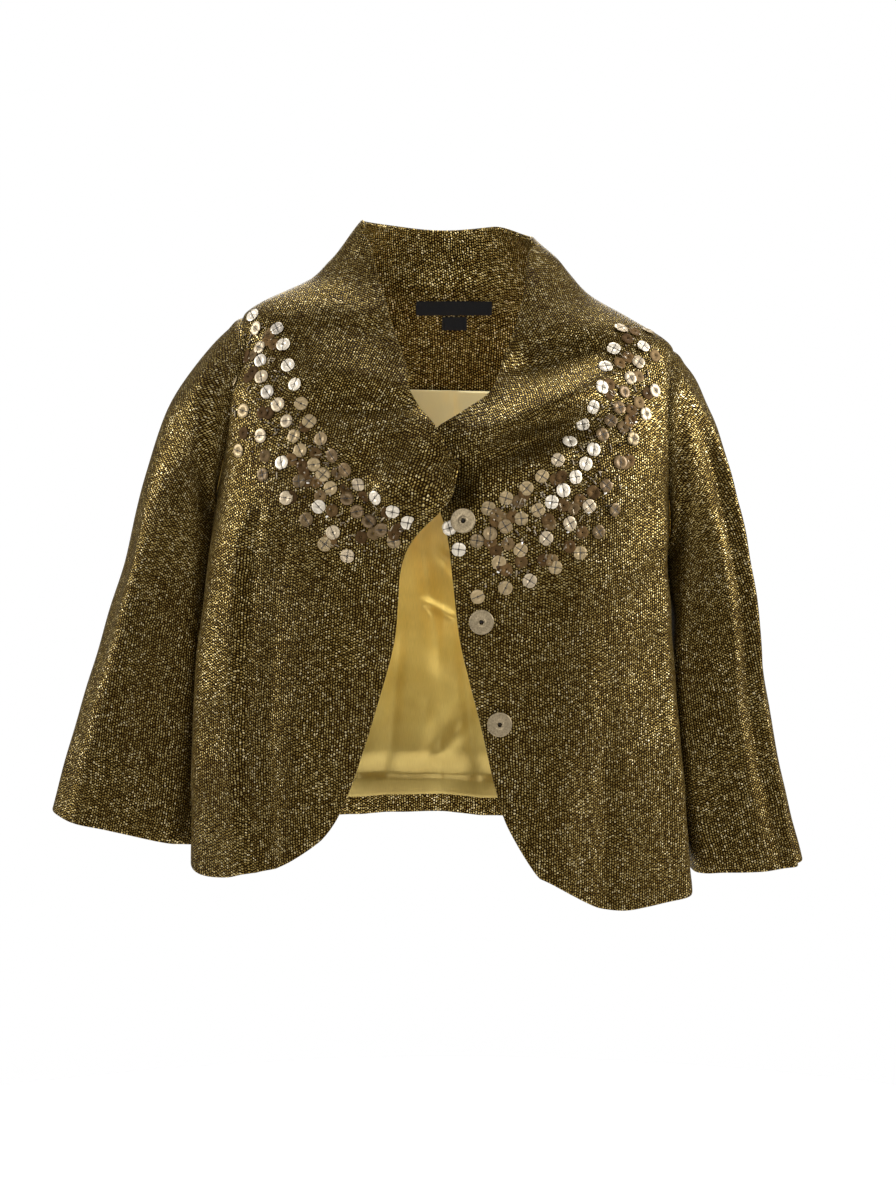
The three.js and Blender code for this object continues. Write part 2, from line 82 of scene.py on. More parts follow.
# level, half width, front depth, back depth, squareness, shift to the side, middle in depth
BODY = np.array([
    (-540, 228, 127, 112, 2.7, -4, 0), (-500, 224, 128, 111, 2.7, -4, 0),
    (-400, 214, 130, 108, 2.7, -4, 0), (-300, 204, 129, 106, 2.7, -3, 0),
    (-215, 196, 126, 106, 2.8, 1, 0), (-150, 194, 118, 104, 2.9, 5, 0), (-110, 194, 106, 100, 3, 7, 0),
    (-80, 193, 92, 94, 3, 8, 1), (-55, 192, 78, 86, 3, 9, 2), (-33, 190, 67, 76, 2.9, 9, 3),
    (-20, 173, 61, 70, 2.7, 8, 4), (-8, 148, 56, 65, 2.5, 6, 6), (5, 124, 52, 60, 2.3, 4, 8),
    (23, 106, 47, 57, 2.2, 2, 10), (43, 86, 42, 54, 2.1, 0, 11), (60, 70, 36, 52, 2, -1, 12)], float)
HALF_WIDTH, FRONT, BACK, SQUARENESS, SHIFT_X, MID_Y = range(1, 7)

# level, x of the front edge
RIGHT_EDGE = np.array([
    (-500, -128), (-474, -106), (-449, -92), (-393, -72), (-341, -57), (-297, -46), (-263, -43),
    (-238, -41), (-216, -33), (-190, -14), (-168, 3), (-150, 8), (-132, 0), (-118, -11), (-87, -33),
    (-66, -36), (-37, -47), (-3, -58), (21, -65), (56, -70)], float)
LEFT_EDGE = np.array([
    (-520, 100), (-492, 75), (-452, 52), (-419, 42), (-369, 30), (-327, 19), (-293, 11), (-243, 5),
    (-209, 1), (-186, -5), (-160, -12), (-135, -12), (-118, -11), (-104, 8), (-83, 36), (-64, 45),
    (-29, 58), (15, 69), (56, 70)], float)

# angle round the body, level of the hem
HEM = np.array([
    (-180, -487), (-130, -491), (-92, -499), (-80, -507), (-68, -519), (-61, -517), (-54, -508),
    (-45, -506), (-20, -494), (20, -497), (42, -511), (55, -520), (65, -514), (73, -505), (80, -492),
    (88, -487), (98, -488), (130, -491), (180, -487)], float)

# The largest folds: lower angle and level, upper angle and level, half width, height, held share
FOLDS = [
    (-69, -540, -72, -140, 18, 6, 0.3), (-60, -540, -61, -130, 12, -10, 0.3),
    (-46, -540, -44, -230, 32, 6, 0.15), (72, -540, 74, -150, 20, 8, 0.15),
    (53, -540, 55, -220, 16, -7, 0.15), (36, -540, 40, -260, 26, 6, 0.15),
    (-91, -600, -91, -180, 34, -17, 0.6), (92, -600, 92, -180, 30, -14, 0.6),
    (118, -540, 112, -210, 24, 9, 0.15), (134, -540, 130, -240, 20, -8, 0.15),
    (186, -540, 180, -250, 40, 6, 0.15), (242, -540, 248, -205, 25, 10, 0.15),
    (226, -540, 230, -260, 19, -7, 0.15)]

# Lesser creases of the cloth in the same form, which the solids leave out
CREASES = [
    (-52.5, -560, -54, -170, 5, -2.2, 0.4), (-60, -540, -61, -130, 12, 9, 0.3),
    (-83, -560, -84, -180, 7, -4, 0.6), (-47, -560, -46, -250, 11, 2.2, 0.4),
    (-38, -560, -35, -300, 14, -2.4, 0.3), (-28, -520, -24, -280, 12, 2, 0.3),
    (-52, -560, -54, -330, 7, -1.6, 0.4), (44, -560, 46, -300, 11, -2, 0.4),
    (51, -560, 52, -240, 8, -1.2, 0.5), (56, -560, 56, -280, 8, 1.2, 0.5),
    (70, -560, 69, -130, 8, 5, 0.85), (60, -560, 60, -150, 8, -1, 0.6),
    (81, -560, 80, -170, 7, -3.4, 0.7), (28, -540, 26, -330, 13, 2, 0.3),
    (18, -540, 20, -250, 15, -2, 0.3), (150, -560, 146, -260, 18, 4, 0.3),
    (163, -560, 160, -330, 12, -3.2, 0.3), (205, -560, 207, -240, 15, 3.6, 0.3),
    (216, -560, 219, -300, 10, -3, 0.4), (255, -560, 258, -260, 11, -3.4, 0.5),
    (104, -560, 101, -280, 10, -3.2, 0.5)]

# across: where the pleat starts, is full, and ends in its sharp edge
PLEAT = {"angle": -56.2, "lean": -0.0105, "bottom": -540, "rise": 9, "across": (-75, -8, -4, 1),
         "fade": (-240, -165)}

BREAK_SWELL = (-0.25, 0.3, 0.7, 1.25)  # shares of the length where a break starts, is full, and ends
BREAK_TURN = 0.3  # the breaks die out at the sides, below this cosine of the angle
# Soft breaks of the fronts and collar seen from the front: x and z of both ends, half width, height
BREAKS = [
    (60, 0, 128, 4, 22, 4), (50, -70, 130, -48, 14, -14), (14, -128, 132, -76, 17, 16),
    (0, -146, 120, -110, 11, -11), (60, -146, 104, -140, 12, 4), (-118, -26, -58, -40, 14, -4),
    (-124, -64, -34, -80, 11, 3), (-118, -98, -26, -102, 10, -7), (-60, -166, -10, -158, 22, 11),
    (-112, -134, -52, -198, 6, -4), (-98, -126, -42, -180, 8, 3), (96, -134, 44, -172, 11, 2.4),
    (188, -44, 193, -150, 7, 2.4), (-150, -150, -156, -240, 10, 1.6)]

# The wearer's right side stands out: how far to the right, how far up, and by how much
SIDE_SWELL = {"across": (135, 185, 235, 300), "low": (-560, -300), "low_share": 0.3, "high": (-90, -45),
              "out": 12}

# Rings of the sleeves: outer x and z, inner x and z, middle in depth, half depth, drop of the front
RIGHT_SLEEVE = [
    (-207, -44, -198, -213, 2, 60, 0), (-233, -95, -199, -228, 2, 57, 0),
    (-260, -160, -200, -258, 2, 53, 0), (-289, -240, -201, -303, 1, 50, 1),
    (-315, -321, -203, -362, 0, 47, 1), (-341, -403, -208, -428, -2, 43, 2),
    (-357, -461, -217, -487, -4, 40, 3)]
LEFT_SLEEVE = [
    (217, -72, 200, -243, 2, 60, 0), (237, -112, 200, -256, 2, 57, 0), (257, -178, 199, -284, 2, 54, 0),
    (273, -256, 199, -325, 1, 51, 1), (284, -345, 201, -385, 0, 49, 2), (300, -425, 207, -448, -2, 46, 1),
    (320, -506, 217, -513, -4, 42, 1)]
# Creases of the sleeves: turn in degrees (0 outer, 90 front, 180 inner) and share of the length at the
# lower end, the same at the upper end, half width in millimetres, height
RIGHT_SLEEVE_CREASES = [
    (52, 1.05, 60, 0.35, 13, 3), (75, 1.05, 84, 0.45, 10, -2.6), (112, 1, 104, 0.3, 14, 2.4),
    (132, 0.95, 128, 0.4, 9, -2.6), (30, 0.9, 40, 0.3, 12, -1.8), (150, 0.62, 95, 0.52, 6, -1.8),
    (250, 1.05, 262, 0.3, 16, 3), (282, 1.05, 286, 0.4, 11, -2.6), (318, 1, 312, 0.35, 13, 2)]
LEFT_SLEEVE_CREASES = [
    (45, 0.98, 40, 0.02, 7, 6.5), (30, 0.9, 26, 0.04, 6, -4.5), (61, 0.8, 57, 0.05, 8, -4.5),
    (82, 1.05, 78, 0.4, 13, 2.6), (106, 1.05, 100, 0.35, 10, -2.4), (150, 0.6, 92, 0.5, 6, -1.6),
    (245, 1.05, 255, 0.3, 16, 3), (280, 1.05, 284, 0.4, 11, -2.6), (316, 1, 320, 0.35, 13, 2)]


# ---- The form ----
def smoothstep(value, low, high):
    t = np.clip((value - low) / (high - low), 0, 1)
    return t * t * (3 - 2 * t)


def between(value, low, full, full_top, top):
    """1 from full to full_top, dying out towards low and top."""
    return smoothstep(value, low, full) * (1 - smoothstep(value, full_top, top))


def top_share(level, start):
    """0 up to a level of the collar, and 1 at its top."""
    return smoothstep(level, start, COLLAR_TOP_LEVEL)


def bell(distance, width):
    """1 at no distance, dying out beyond the width."""
    return np.exp(-((distance / width) ** 2))


def mix(a, b, share):
    return a + (b - a) * share


def joined(*parts):
    """Numbers, rows and columns joined into one grid of points."""
    return np.stack(np.broadcast_arrays(*parts), -1)


def full_turn(count):
    """Evenly spaced angles all the way round, in radians."""
    return np.linspace(0, 2 * math.pi, count, endpoint=False)


def unit(vectors):
    return vectors / np.maximum(np.linalg.norm(vectors, axis=-1, keepdims=True), 1e-12)


def cubic(a, b, slope_a, slope_b, t):
    """A cubic from a to b, with the slopes it has there."""
    return ((2 * t**3 - 3 * t**2 + 1) * a + (t**3 - 2 * t**2 + t) * slope_a
            + (3 * t**2 - 2 * t**3) * b + (t**3 - t**2) * slope_b)


def smooth_column(rows, column, at):
    """The value of a column where the first column has a given value, on a cubic through the rows."""
    along, value = rows[:, 0], rows[:, column]
    i = np.clip(np.searchsorted(along, at) - 1, 0, len(rows) - 2)
    before = np.maximum(i - 1, 0)
    after = np.minimum(i + 2, len(rows) - 1)
    span = along[i + 1] - along[i]
    slope_a = (value[i + 1] - value[before]) / (along[i + 1] - along[before]) * span
    slope_b = (value[after] - value[i]) / (along[after] - along[i]) * span
    return cubic(value[i], value[i + 1], slope_a, slope_b, np.clip((at - along[i]) / span, 0, 1))


def section(column, level):
    return smooth_column(BODY, column, level)


def line_place(x, z, end_x, end_z):
    """How far a place is along a line from 0, 0, as a share of the line, and how far beside it."""
    length = math.hypot(end_x, end_z)
    return (x * end_x + z * end_z) / length**2, (x * end_z - z * end_x) / length


def long_swell(share, hold):
    """The strength of a fold that starts at the hem, is held for a share of its length and dies out."""
    return 1 - smoothstep(share, hold, 1)


def short_swell(share, hold):
    """The strength of a fold that dies out at both ends and is held in its middle."""
    return between(share, -0.3, 0.5 - hold / 2, 0.5 + hold / 2, 1.3)


def fold_height(folds, swell, angle, level):
    """How far a list of folds moves the cloth outwards."""
    height = 0
    for low_angle, low_level, top_angle, top_level, half_width, rise, hold in folds:
        away = (angle - low_angle + 180) % 360 - 180
        share, beside = line_place(away * MM_PER_DEGREE, level - low_level,
                                   (top_angle - low_angle) * MM_PER_DEGREE, top_level - low_level)
        height = height + rise * swell(share, hold) * bell(beside, half_width)
    return height


def break_height(x, z):
    """How far the soft breaks move the cloth forwards."""
    height = 0
    for x0, z0, x1, z1, half_width, rise in BREAKS:
        share, beside = line_place(x - x0, z - z0, x1 - x0, z1 - z0)
        height = height + rise * between(share, *BREAK_SWELL) * bell(beside, half_width)
    return height


def pleat_height(angle, level):
    """The pipe fold down the wearer's right front, which stands out past a sharp edge."""
    across = (angle - PLEAT["angle"] - PLEAT["lean"] * (level - PLEAT["bottom"])) * MM_PER_DEGREE
    return PLEAT["rise"] * (1 - smoothstep(level, *PLEAT["fade"])) * between(across, *PLEAT["across"])


RIPPLE_HEIGHT = 0.18
RIPPLE_LENGTHS = (38, 120)
RIPPLE_COUNT = 18
RIPPLES = [(unit(draw.normal(size=3)) * 2 * math.pi / draw.uniform(*RIPPLE_LENGTHS), draw.uniform(0, 6.28))
           for _ in range(RIPPLE_COUNT)]


def ripple(points):
    """A slight unevenness of all cloth, from waves in every direction."""
    return RIPPLE_HEIGHT * sum(np.sin(points @ wave + start) for wave, start in RIPPLES)


def side_swell(points):
    """Moves the cloth of the wearer's right side out, on the body and on the sleeve beside it."""
    x, level = points[..., 0], points[..., 2]
    height = (mix(SIDE_SWELL["low_share"], 1, smoothstep(level, *SIDE_SWELL["low"]))
              * (1 - smoothstep(level, *SIDE_SWELL["high"])))
    moved = np.array(points)
    moved[..., 0] = x - SIDE_SWELL["out"] * between(-x, *SIDE_SWELL["across"]) * height
    return moved


def form_point(angle, level):
    """A point of the body's outer surface: angle in degrees from the middle of the front."""
    sin, cos = np.sin(np.radians(angle)), np.cos(np.radians(angle))
    depth = np.where(cos > 0, section(FRONT, level), section(BACK, level))
    power = section(SQUARENESS, level)
    radius = ((np.abs(sin) / section(HALF_WIDTH, level)) ** power
              + (np.abs(cos) / depth) ** power) ** (-1 / power)
    radius = radius + fold_height(FOLDS + CREASES, long_swell, angle, level) + pleat_height(angle, level)
    radius = radius + COLLAR_FLARE["out"] * top_share(level, COLLAR_FLARE["from"]) * sin**4
    x = section(SHIFT_X, level) + radius * sin
    y = section(MID_Y, level) - radius * cos
    towards_front = smoothstep(cos, *TILT_TURN) * (1 - top_share(level, TILT_FADE_LEVEL))
    z = level - mix(BACK_TILT, FRONT_TILT, towards_front) * x
    y = y - break_height(x, z) * smoothstep(cos, 0, BREAK_TURN)
    wave = COLLAR_WAVE["height"] * np.cos(np.radians(2 * angle - COLLAR_WAVE["turn"])) - COLLAR_WAVE["rise"]
    side = np.maximum(0, (np.abs(sin) - COLLAR_ROUND["side"]) / (1 - COLLAR_ROUND["side"])) ** 2
    drop = mix(*COLLAR_ROUND["drop"], smoothstep(sin, *COLLAR_ROUND["between"])) * side
    z = z - wave * top_share(level, COLLAR_WAVE["from"]) - drop * top_share(level, COLLAR_ROUND["from"])
    return side_swell(joined(x, y, z))


def form_normal(angle, level):
    step = 0.4
    across = form_point(angle + step, level) - form_point(angle - step, level)
    up = form_point(angle, level + step) - form_point(angle, level - step)
    return unit(np.cross(across, up))


def angle_at_x(x, level, on_back):
    """The angle at which the section lies a given way to the side, on the front or the back."""
    power = section(SQUARENESS, level)
    away = x - section(SHIFT_X, level)
    share = np.minimum(np.abs(away) / section(HALF_WIDTH, level), 1)
    y = section(BACK if on_back else FRONT, level) * (1 - share**power) ** (1 / power)
    return np.degrees(np.arctan2(away, -y if on_back else y))


def turn_to_depth(y, level, on_back):
    """How many degrees the section turns from its side to reach a given depth."""
    power = section(SQUARENESS, level)
    depth = section(BACK if on_back else FRONT, level)
    x = section(HALF_WIDTH, level) * (1 - (y / depth) ** power) ** (1 / power)
    return np.degrees(np.arctan2(y, x))


ARMHOLE_MIDDLE = (TIP_LEVEL + UNDERARM_LEVEL) / 2
ARMHOLE_HALF = (TIP_LEVEL - UNDERARM_LEVEL) / 2


def side_turn(level, on_back):
    """How many degrees from the side a panel ends, which is more along the armhole."""
    share = (level - ARMHOLE_MIDDLE) / ARMHOLE_HALF
    depth = ARMHOLE_HALF_DEPTH * np.sqrt(np.maximum(0, 1 - share * share))
    return turn_to_depth(np.maximum(SEAM_GAP / 2, depth), level, on_back)


def hem_drop(angle, row_level, lowest):
    """How far a row is moved from its level so that the lowest one follows the hem."""
    above_hem = smoothstep(row_level, lowest, lowest + HEM_CURVE_REACH)
    return (smooth_column(HEM, 1, (angle + 180) % 360 - 180) - lowest) * (1 - above_hem)


def panel_levels(lowest, skirt, armhole, yoke):
    """Levels of a panel's rows: even up the skirt, close together at both ends of the armhole."""
    turn = np.linspace(math.pi, 0, armhole + 1)
    return np.concatenate([
        np.linspace(lowest, UNDERARM_LEVEL, skirt, endpoint=False),
        ARMHOLE_MIDDLE + ARMHOLE_HALF * np.cos(turn),
        mix(TIP_LEVEL, COLLAR_TOP_LEVEL, np.linspace(0, 1, yoke + 1)[1:] ** YOKE_POWER)])


def way_along(points, axis):
    """Each point's way along the grid from its first row, axis 0, or its first column, axis 1."""
    steps = np.linalg.norm(np.diff(points, axis=axis), axis=-1)
    return np.concatenate([0 * steps.take([0], axis), np.cumsum(steps, axis=axis)], axis)


# Tables of how far a place is along the cloth, round it and up it, so that the weave keeps its size
GRAIN_STEP = 1.0
GRAIN_LEVEL_STEP = 3.0
GRAIN_ANGLES = np.arange(-100.0, 281.0, GRAIN_STEP)
GRAIN_LEVELS = np.arange(-545.0, 62.0, GRAIN_LEVEL_STEP)
GRAIN_POINTS = form_point(GRAIN_ANGLES[None, :], GRAIN_LEVELS[:, None])
GRAIN_U, GRAIN_V = way_along(GRAIN_POINTS, 1), way_along(GRAIN_POINTS, 0)
FRONT_GRAIN, BACK_GRAIN = 42, 180  # angles at which the warp runs straight up


def grain(angle, level, straight):
    """Millimetres along the weft and the warp. The warp runs straight up at the angle straight."""
    def cell(at, first, step, count):
        place = np.clip((at - first) / step, 0, count - 1.001)
        return place.astype(int), place - place.astype(int)

    j, up = cell(level, GRAIN_LEVELS[0], GRAIN_LEVEL_STEP, len(GRAIN_LEVELS))

    def read(table, at):
        i, along = cell(at, GRAIN_ANGLES[0], GRAIN_STEP, len(GRAIN_ANGLES))
        low, high = (mix(table[row, i], table[row, i + 1], along) for row in (j, j + 1))
        return mix(low, high, up)

    return joined(read(GRAIN_U, angle) - read(GRAIN_U, np.full_like(angle, straight)), read(GRAIN_V, angle))


# ---- Meshes ----
def show(name, data):
    """A new object in the scene."""
    thing = bpy.data.objects.new(name, data)
    bpy.context.scene.collection.objects.link(thing)
    return thing


def close(grid, axis):
    """A grid with its first row, axis 0, or first column, axis 1, again at its end."""
    return np.concatenate([grid, grid.take([0], axis)], axis)


class Builder:
    """Gathers points and the faces of grids, then makes one object."""

    def __init__(self):
        self.points, self.tints, self.faces, self.uvs, self.kinds = [], [], [], [], []
        self.count = 0

    def add_points(self, points):
        """Numbers of the new points, in the shape of their grid."""
        numbers = np.arange(points[..., 0].size).reshape(points.shape[:-1]) + self.count
        self.points.append(points.reshape(-1, 3))
        self.count += numbers.size
        return numbers

    def add_grid(self, numbers, uvs, kind=0, flip=False):
        """Faces between the rows and columns of a grid of point numbers. kind picks their material."""
        def corners(grid):
            cells = np.stack([grid[:-1, :-1], grid[:-1, 1:], grid[1:, 1:], grid[1:, :-1]], 2)
            cells = cells.reshape(-1, *cells.shape[2:])
            return cells[:, ::-1] if flip else cells

        self.faces.append(corners(numbers))
        self.uvs.append(corners(uvs))
        self.kinds.append(np.broadcast_to(kind, numbers[1:, 1:].shape).reshape(-1))

    def add_copy(self, shape, place, tint=(1, 1, 1)):
        """A copy of a small shape, a grid closed along some axes, with its own place and colour."""
        grid, closed_axes = shape
        axes, origin = place
        points = grid @ axes + origin
        numbers, uvs = self.add_points(points), points[..., [0, 2]]
        for axis in closed_axes:
            numbers, uvs = close(numbers, axis), close(uvs, axis)
        self.add_grid(numbers, uvs)
        self.tints.append(np.tile((*tint, 1.0), (points[..., 0].size, 1)))

    def make(self, name, materials):
        faces = np.concatenate(self.faces)
        mesh = bpy.data.meshes.new(name)
        mesh.from_pydata((np.concatenate(self.points) * MM).tolist(), [], faces.tolist())
        uvs = np.concatenate(self.uvs).reshape(-1) * MM
        mesh.uv_layers.new(name="weave").data.foreach_set("uv", uvs.astype(np.float32))
        if self.tints:
            tint = mesh.attributes.new("tint", "FLOAT_COLOR", "POINT")
            tint.data.foreach_set("color", np.concatenate(self.tints).astype(np.float32).reshape(-1))
        for material in materials:
            mesh.materials.append(material)
        mesh.polygons.foreach_set("material_index", np.concatenate(self.kinds).astype(np.int32))
        mesh.polygons.foreach_set("use_smooth", np.ones(len(faces), bool))
        mesh.update()
        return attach(show(name, mesh), "root")


def grid_normals(points, wrap=False):
    """Outward directions of a grid. wrap says that its last column meets its first."""
    if wrap:
        across = np.roll(points, -1, axis=1) - np.roll(points, 1, axis=1)
    else:
        across = np.gradient(points, axis=1)
    return unit(np.cross(across, np.gradient(points, axis=0)))


def push(points, distance, normals=None):
    """Points moved out along their normals."""
    normals = grid_normals(points) if normals is None else normals
    return points + normals * distance[..., None]


RIM_STEPS = 4


def wall(name, points, uvs, thickness, materials, inner_kind=0, wrap=False, outward=1):
    """A thin wall with round rims. outward is -1 where the grid's own normal points in."""
    normals = grid_normals(points, wrap) * outward
    builder = Builder()
    layers = [builder.add_points(points), builder.add_points(points - normals * thickness)]
    outer, inner = (close(layer, 1) if wrap else layer for layer in layers)
    builder.add_grid(outer, uvs, 0, outward < 0)
    builder.add_grid(inner, uvs, inner_kind, outward > 0)
    # Loops of the edge: row, column, and the way out across and up
    last_row, last_column = points.shape[0] - 1, points.shape[1] - 1
    bottom = [(0, i, 0, -1) for i in range(last_column + 1)]
    right = [(j, last_column, 1, 0) for j in range(1, last_row)]
    top = [(last_row, i, 0, 1) for i in range(last_column, -1, -1)]
    left = [(j, 0, -1, 0) for j in range(last_row - 1, 0, -1)]
    half = thickness / 2
    turns = np.linspace(0, math.pi, RIM_STEPS + 1)[:, None, None]
    for loop in [bottom, top] if wrap else [bottom + right + top + left]:
        j, i, across, up = np.array(loop).T
        edge, normal = points[j, i], normals[j, i]
        away = edge - points[j - up, i - across]
        away = unit(away - np.sum(away * normal, axis=-1, keepdims=True) * normal)
        ring = edge - normal * half + normal * half * np.cos(turns[1:-1]) + away * half * np.sin(turns[1:-1])
        numbers = np.concatenate([layers[0][None, j, i], builder.add_points(ring), layers[1][None, j, i]])
        rim_uvs = uvs[j, i] + turns * half * joined(across, up)
        builder.add_grid(close(numbers, 1), close(rim_uvs, 1), 0, outward > 0)
    return builder.make(name, materials)


# ---- Materials ----
class Value:
    """An output of a shader node, which sums and products can be made of."""

    def __init__(self, shader, socket):
        self.shader, self.socket = shader, socket

    def __add__(self, other):
        return self.shader.math("ADD", self, other)

    def __sub__(self, other):
        return self.shader.math("SUBTRACT", self, other)

    def __rsub__(self, other):
        return self.shader.math("SUBTRACT", other, self)

    def __mul__(self, other):
        return self.shader.math("MULTIPLY", self, other)

    def __pow__(self, other):
        return self.shader.math("POWER", self, other)


class Shader:
    """A material with short calls for its nodes."""

    def __init__(self, name):
        self.material = bpy.data.materials.new(name)
        self.material.use_nodes = True
        self.tree = self.material.node_tree
        self.surface = next(n for n in self.tree.nodes if n.type == "BSDF_PRINCIPLED")

    def put(self, socket, value):
        """Links a value to a socket, or sets a constant on it."""
        if isinstance(value, Value):
            self.tree.links.new(value.socket, socket)
        elif socket.type == "RGBA":
            socket.default_value = (*value, 1.0)
        else:
            socket.default_value = value

    def node(self, kind, inputs, output=0, **settings):
        node = self.tree.nodes.new(kind)
        for key, value in settings.items():
            setattr(node, key, value)
        for key, value in inputs.items():
            self.put(node.inputs[key], value)
        return Value(self, node.outputs[output])

    def finish(self, **values):
        """Sets the surface's own sockets, by names with _ for spaces, and gives the material."""
        for key, value in values.items():
            self.put(self.surface.inputs[key.replace("_", " ")], value)
        return self.material

    def math(self, operation, a, b=0.0):
        return self.node("ShaderNodeMath", {0: a, 1: b}, operation=operation)

    def step(self, value, low, high, out_low=0.0, out_high=1.0):
        inputs = {"Value": value, "From Min": low, "From Max": high, "To Min": out_low, "To Max": out_high}
        return self.node("ShaderNodeMapRange", inputs, interpolation_type="SMOOTHSTEP")

    def noise(self, vector, scale, detail=1.0, roughness=0.5):
        return self.node("ShaderNodeTexNoise", {"Vector": vector, "Scale": scale, "Detail": detail,
                                                "Roughness": roughness})

    def vector(self, x, y):
        return self.node("ShaderNodeCombineXYZ", {0: x, 1: y})

    def mix(self, share, a, b, blend="MIX"):
        return self.node("ShaderNodeMix", {0: share, 6: a, 7: b}, 2, data_type="RGBA", blend_type=blend)

    def shade(self, colour, share):
        """A colour times a share."""
        grey = self.node("ShaderNodeCombineColor", {0: share, 1: share, 2: share})
        return self.mix(1.0, colour, grey, "MULTIPLY")

    def ramp(self, value, stops):
        """A colour read from (place, colour) stops."""
        node = self.tree.nodes.new("ShaderNodeValToRGB")
        self.put(node.inputs[0], value)
        points = node.color_ramp.elements
        while len(points) < len(stops):
            points.new(0.5)
        for point, (place, colour) in zip(points, stops):
            point.position = place
            point.color = (*colour, 1.0)
        return Value(self, node.outputs[0])

    def centred(self, value):
        """How far a value is from the middle between two whole numbers, 0 to 1."""
        return self.math("ABSOLUTE", self.math("FRACT", value) * 2.0 - 1.0)

    def bump(self, height, distance):
        """Relief of the surface, with its depth in millimetres."""
        return self.node("ShaderNodeBump", {"Height": height, "Distance": distance * MM, "Strength": 1.0})

    def cloth_place(self):
        """The two texture places in millimetres, and the pair as a vector."""
        place = self.node("ShaderNodeUVMap", {}, uv_map="weave")
        scaled = self.node("ShaderNodeVectorMath", {0: place, 1: (1 / MM, 1 / MM, 0.0)}, operation="MULTIPLY")
        u, v = (self.node("ShaderNodeSeparateXYZ", {0: scaled}, axis) for axis in range(2))
        return u, v, scaled

    def object_place(self):
        """The place in the object, in metres."""
        return self.node("ShaderNodeTexCoord", {}, "Object")


TWEED_PITCH = 2.5  # one knot along its chain
CHAINS_PER_PITCH = 1.15
TWEED_GAP = (0.008, 0.0035, 0.0003)
TWEED_TONES = [(0.0, (0.090, 0.054, 0.011)), (0.4, (0.180, 0.122, 0.032)), (0.7, (0.30, 0.225, 0.085)),
               (0.87, (0.52, 0.43, 0.25)), (1.0, (0.90, 0.80, 0.62))]


def tweed_material(name, gain=1.0):
    """Chains of gold knots up the cloth, uneven and staggered, on a dark ground. gain above 1 lightens all
    its colours as painted light.
    """
    s = Shader(name)
    u, v, place = s.cloth_place()
    wander = s.noise(place, 0.04, 2.0)
    waver = s.noise(place, 0.16)
    across = u * (CHAINS_PER_PITCH / TWEED_PITCH) + wander * 1.9 + waver * 0.6
    chain = s.math("FLOOR", across)
    stretch = s.noise(s.vector(v * 0.22, chain * 2.7), 1.0)
    along = v * (1 / TWEED_PITCH) + stretch * 1.2 + waver * 0.7 + chain * 0.5
    cell = s.vector(s.math("FLOOR", along), chain)
    chance = s.node("ShaderNodeTexWhiteNoise", {"Vector": cell}, noise_dimensions="2D")
    fibre = s.noise(place, 1.1, 2.0, 0.6)
    patch = s.noise(place, 0.018, 2.0)
    # Where the knots lie flat they are wider along the cloth than up it
    lie = s.step(s.noise(place, 0.012), 0.45, 0.65)
    off_chain = s.centred(across) ** 2.0 * (0.95 - lie * 0.5)
    off_knot = s.centred(along) ** 2.0 * (lie * 0.4 + 0.75)
    height = 1.0 - off_chain - off_knot + (fibre - 0.5) * 0.6 + (chance - 0.5) * 0.14
    cover = s.step(height, 0.53, 0.86)
    tone = chance * 0.8 + (fibre - 0.5) * 0.5 + (patch - 0.5) * 0.25
    gold = s.ramp(tone, [(at, tuple(gain * c for c in colour)) for at, colour in TWEED_TONES])
    return s.finish(
        Base_Color=s.mix(cover, TWEED_GAP, gold), Metallic=cover * s.step(tone, 0.0, 0.9, 0.45, 0.85),
        Roughness=0.35, Specular_IOR_Level=0.04, Specular_Tint=(0.9, 0.7, 0.3), Sheen_Weight=0.015,
        Sheen_Roughness=0.4, Sheen_Tint=(0.85, 0.6, 0.2), Normal=s.bump(s.math("MAXIMUM", height, 0.0), 0.25))


def satin_material():
    """Smooth gold lining with a very fine ribbed weave, with painted shade low down and painted light and a
    painted highlight high up.
    """
    s = Shader("satin")
    u, v, place = s.cloth_place()
    cloud = s.noise(place, 0.02, 2.0)
    thread = s.noise(s.vector(u * 2.2, v * 0.12), 1.0, 2.0)
    colour = s.mix(s.step(cloud, 0.3, 0.7), (0.60, 0.415, 0.085), (0.78, 0.57, 0.145))
    colour = s.shade(colour, s.step(thread, 0.3, 0.7, 0.93, 1.05))
    # Painted shade low down and painted light higher up, by the way up the cloth
    colour = s.shade(colour, s.step(v, 60.0, 300.0, 0.42, 1.3))
    # A pale painted highlight from the middle of the back upwards
    colour = s.mix(s.step(v, 260.0, 430.0, 0.0, 0.75), colour, (0.80, 0.72, 0.46))
    return s.finish(Base_Color=colour, Roughness=0.36, Metallic=0.45, Anisotropic=0.4, Sheen_Weight=0.25,
                    Sheen_Roughness=0.3, Sheen_Tint=(1.0, 0.86, 0.5), Normal=s.bump(thread, 0.06))


def label_material():
    """Black tape of a fine twill weave."""
    s = Shader("label_cloth")
    u, v, place = s.cloth_place()
    twill = s.math("SINE", (u + v) * 6.0)
    fleck = s.noise(place, 2.0, 2.0)
    colour = s.mix(s.step(twill, -1.0, 1.0), (0.007, 0.007, 0.008), (0.018, 0.018, 0.020))
    colour = s.mix(s.step(fleck, 0.45, 0.8), colour, (0.022, 0.022, 0.024))
    return s.finish(Base_Color=colour, Roughness=0.7, Specular_IOR_Level=0.1, Sheen_Weight=0.02,
                    Sheen_Roughness=0.5, Normal=s.bump(twill, 0.08))


def thread_material():
    """Dark twisted thread."""
    s = Shader("dark_thread")
    _, _, place = s.cloth_place()
    twist = s.noise(place, 3.0)
    colour = s.mix(s.step(twist, 0.35, 0.7), (0.012, 0.008, 0.004), (0.0316, 0.0244, 0.0172))
    return s.finish(Base_Color=colour, Roughness=0.6, Normal=s.bump(twist, 0.1))


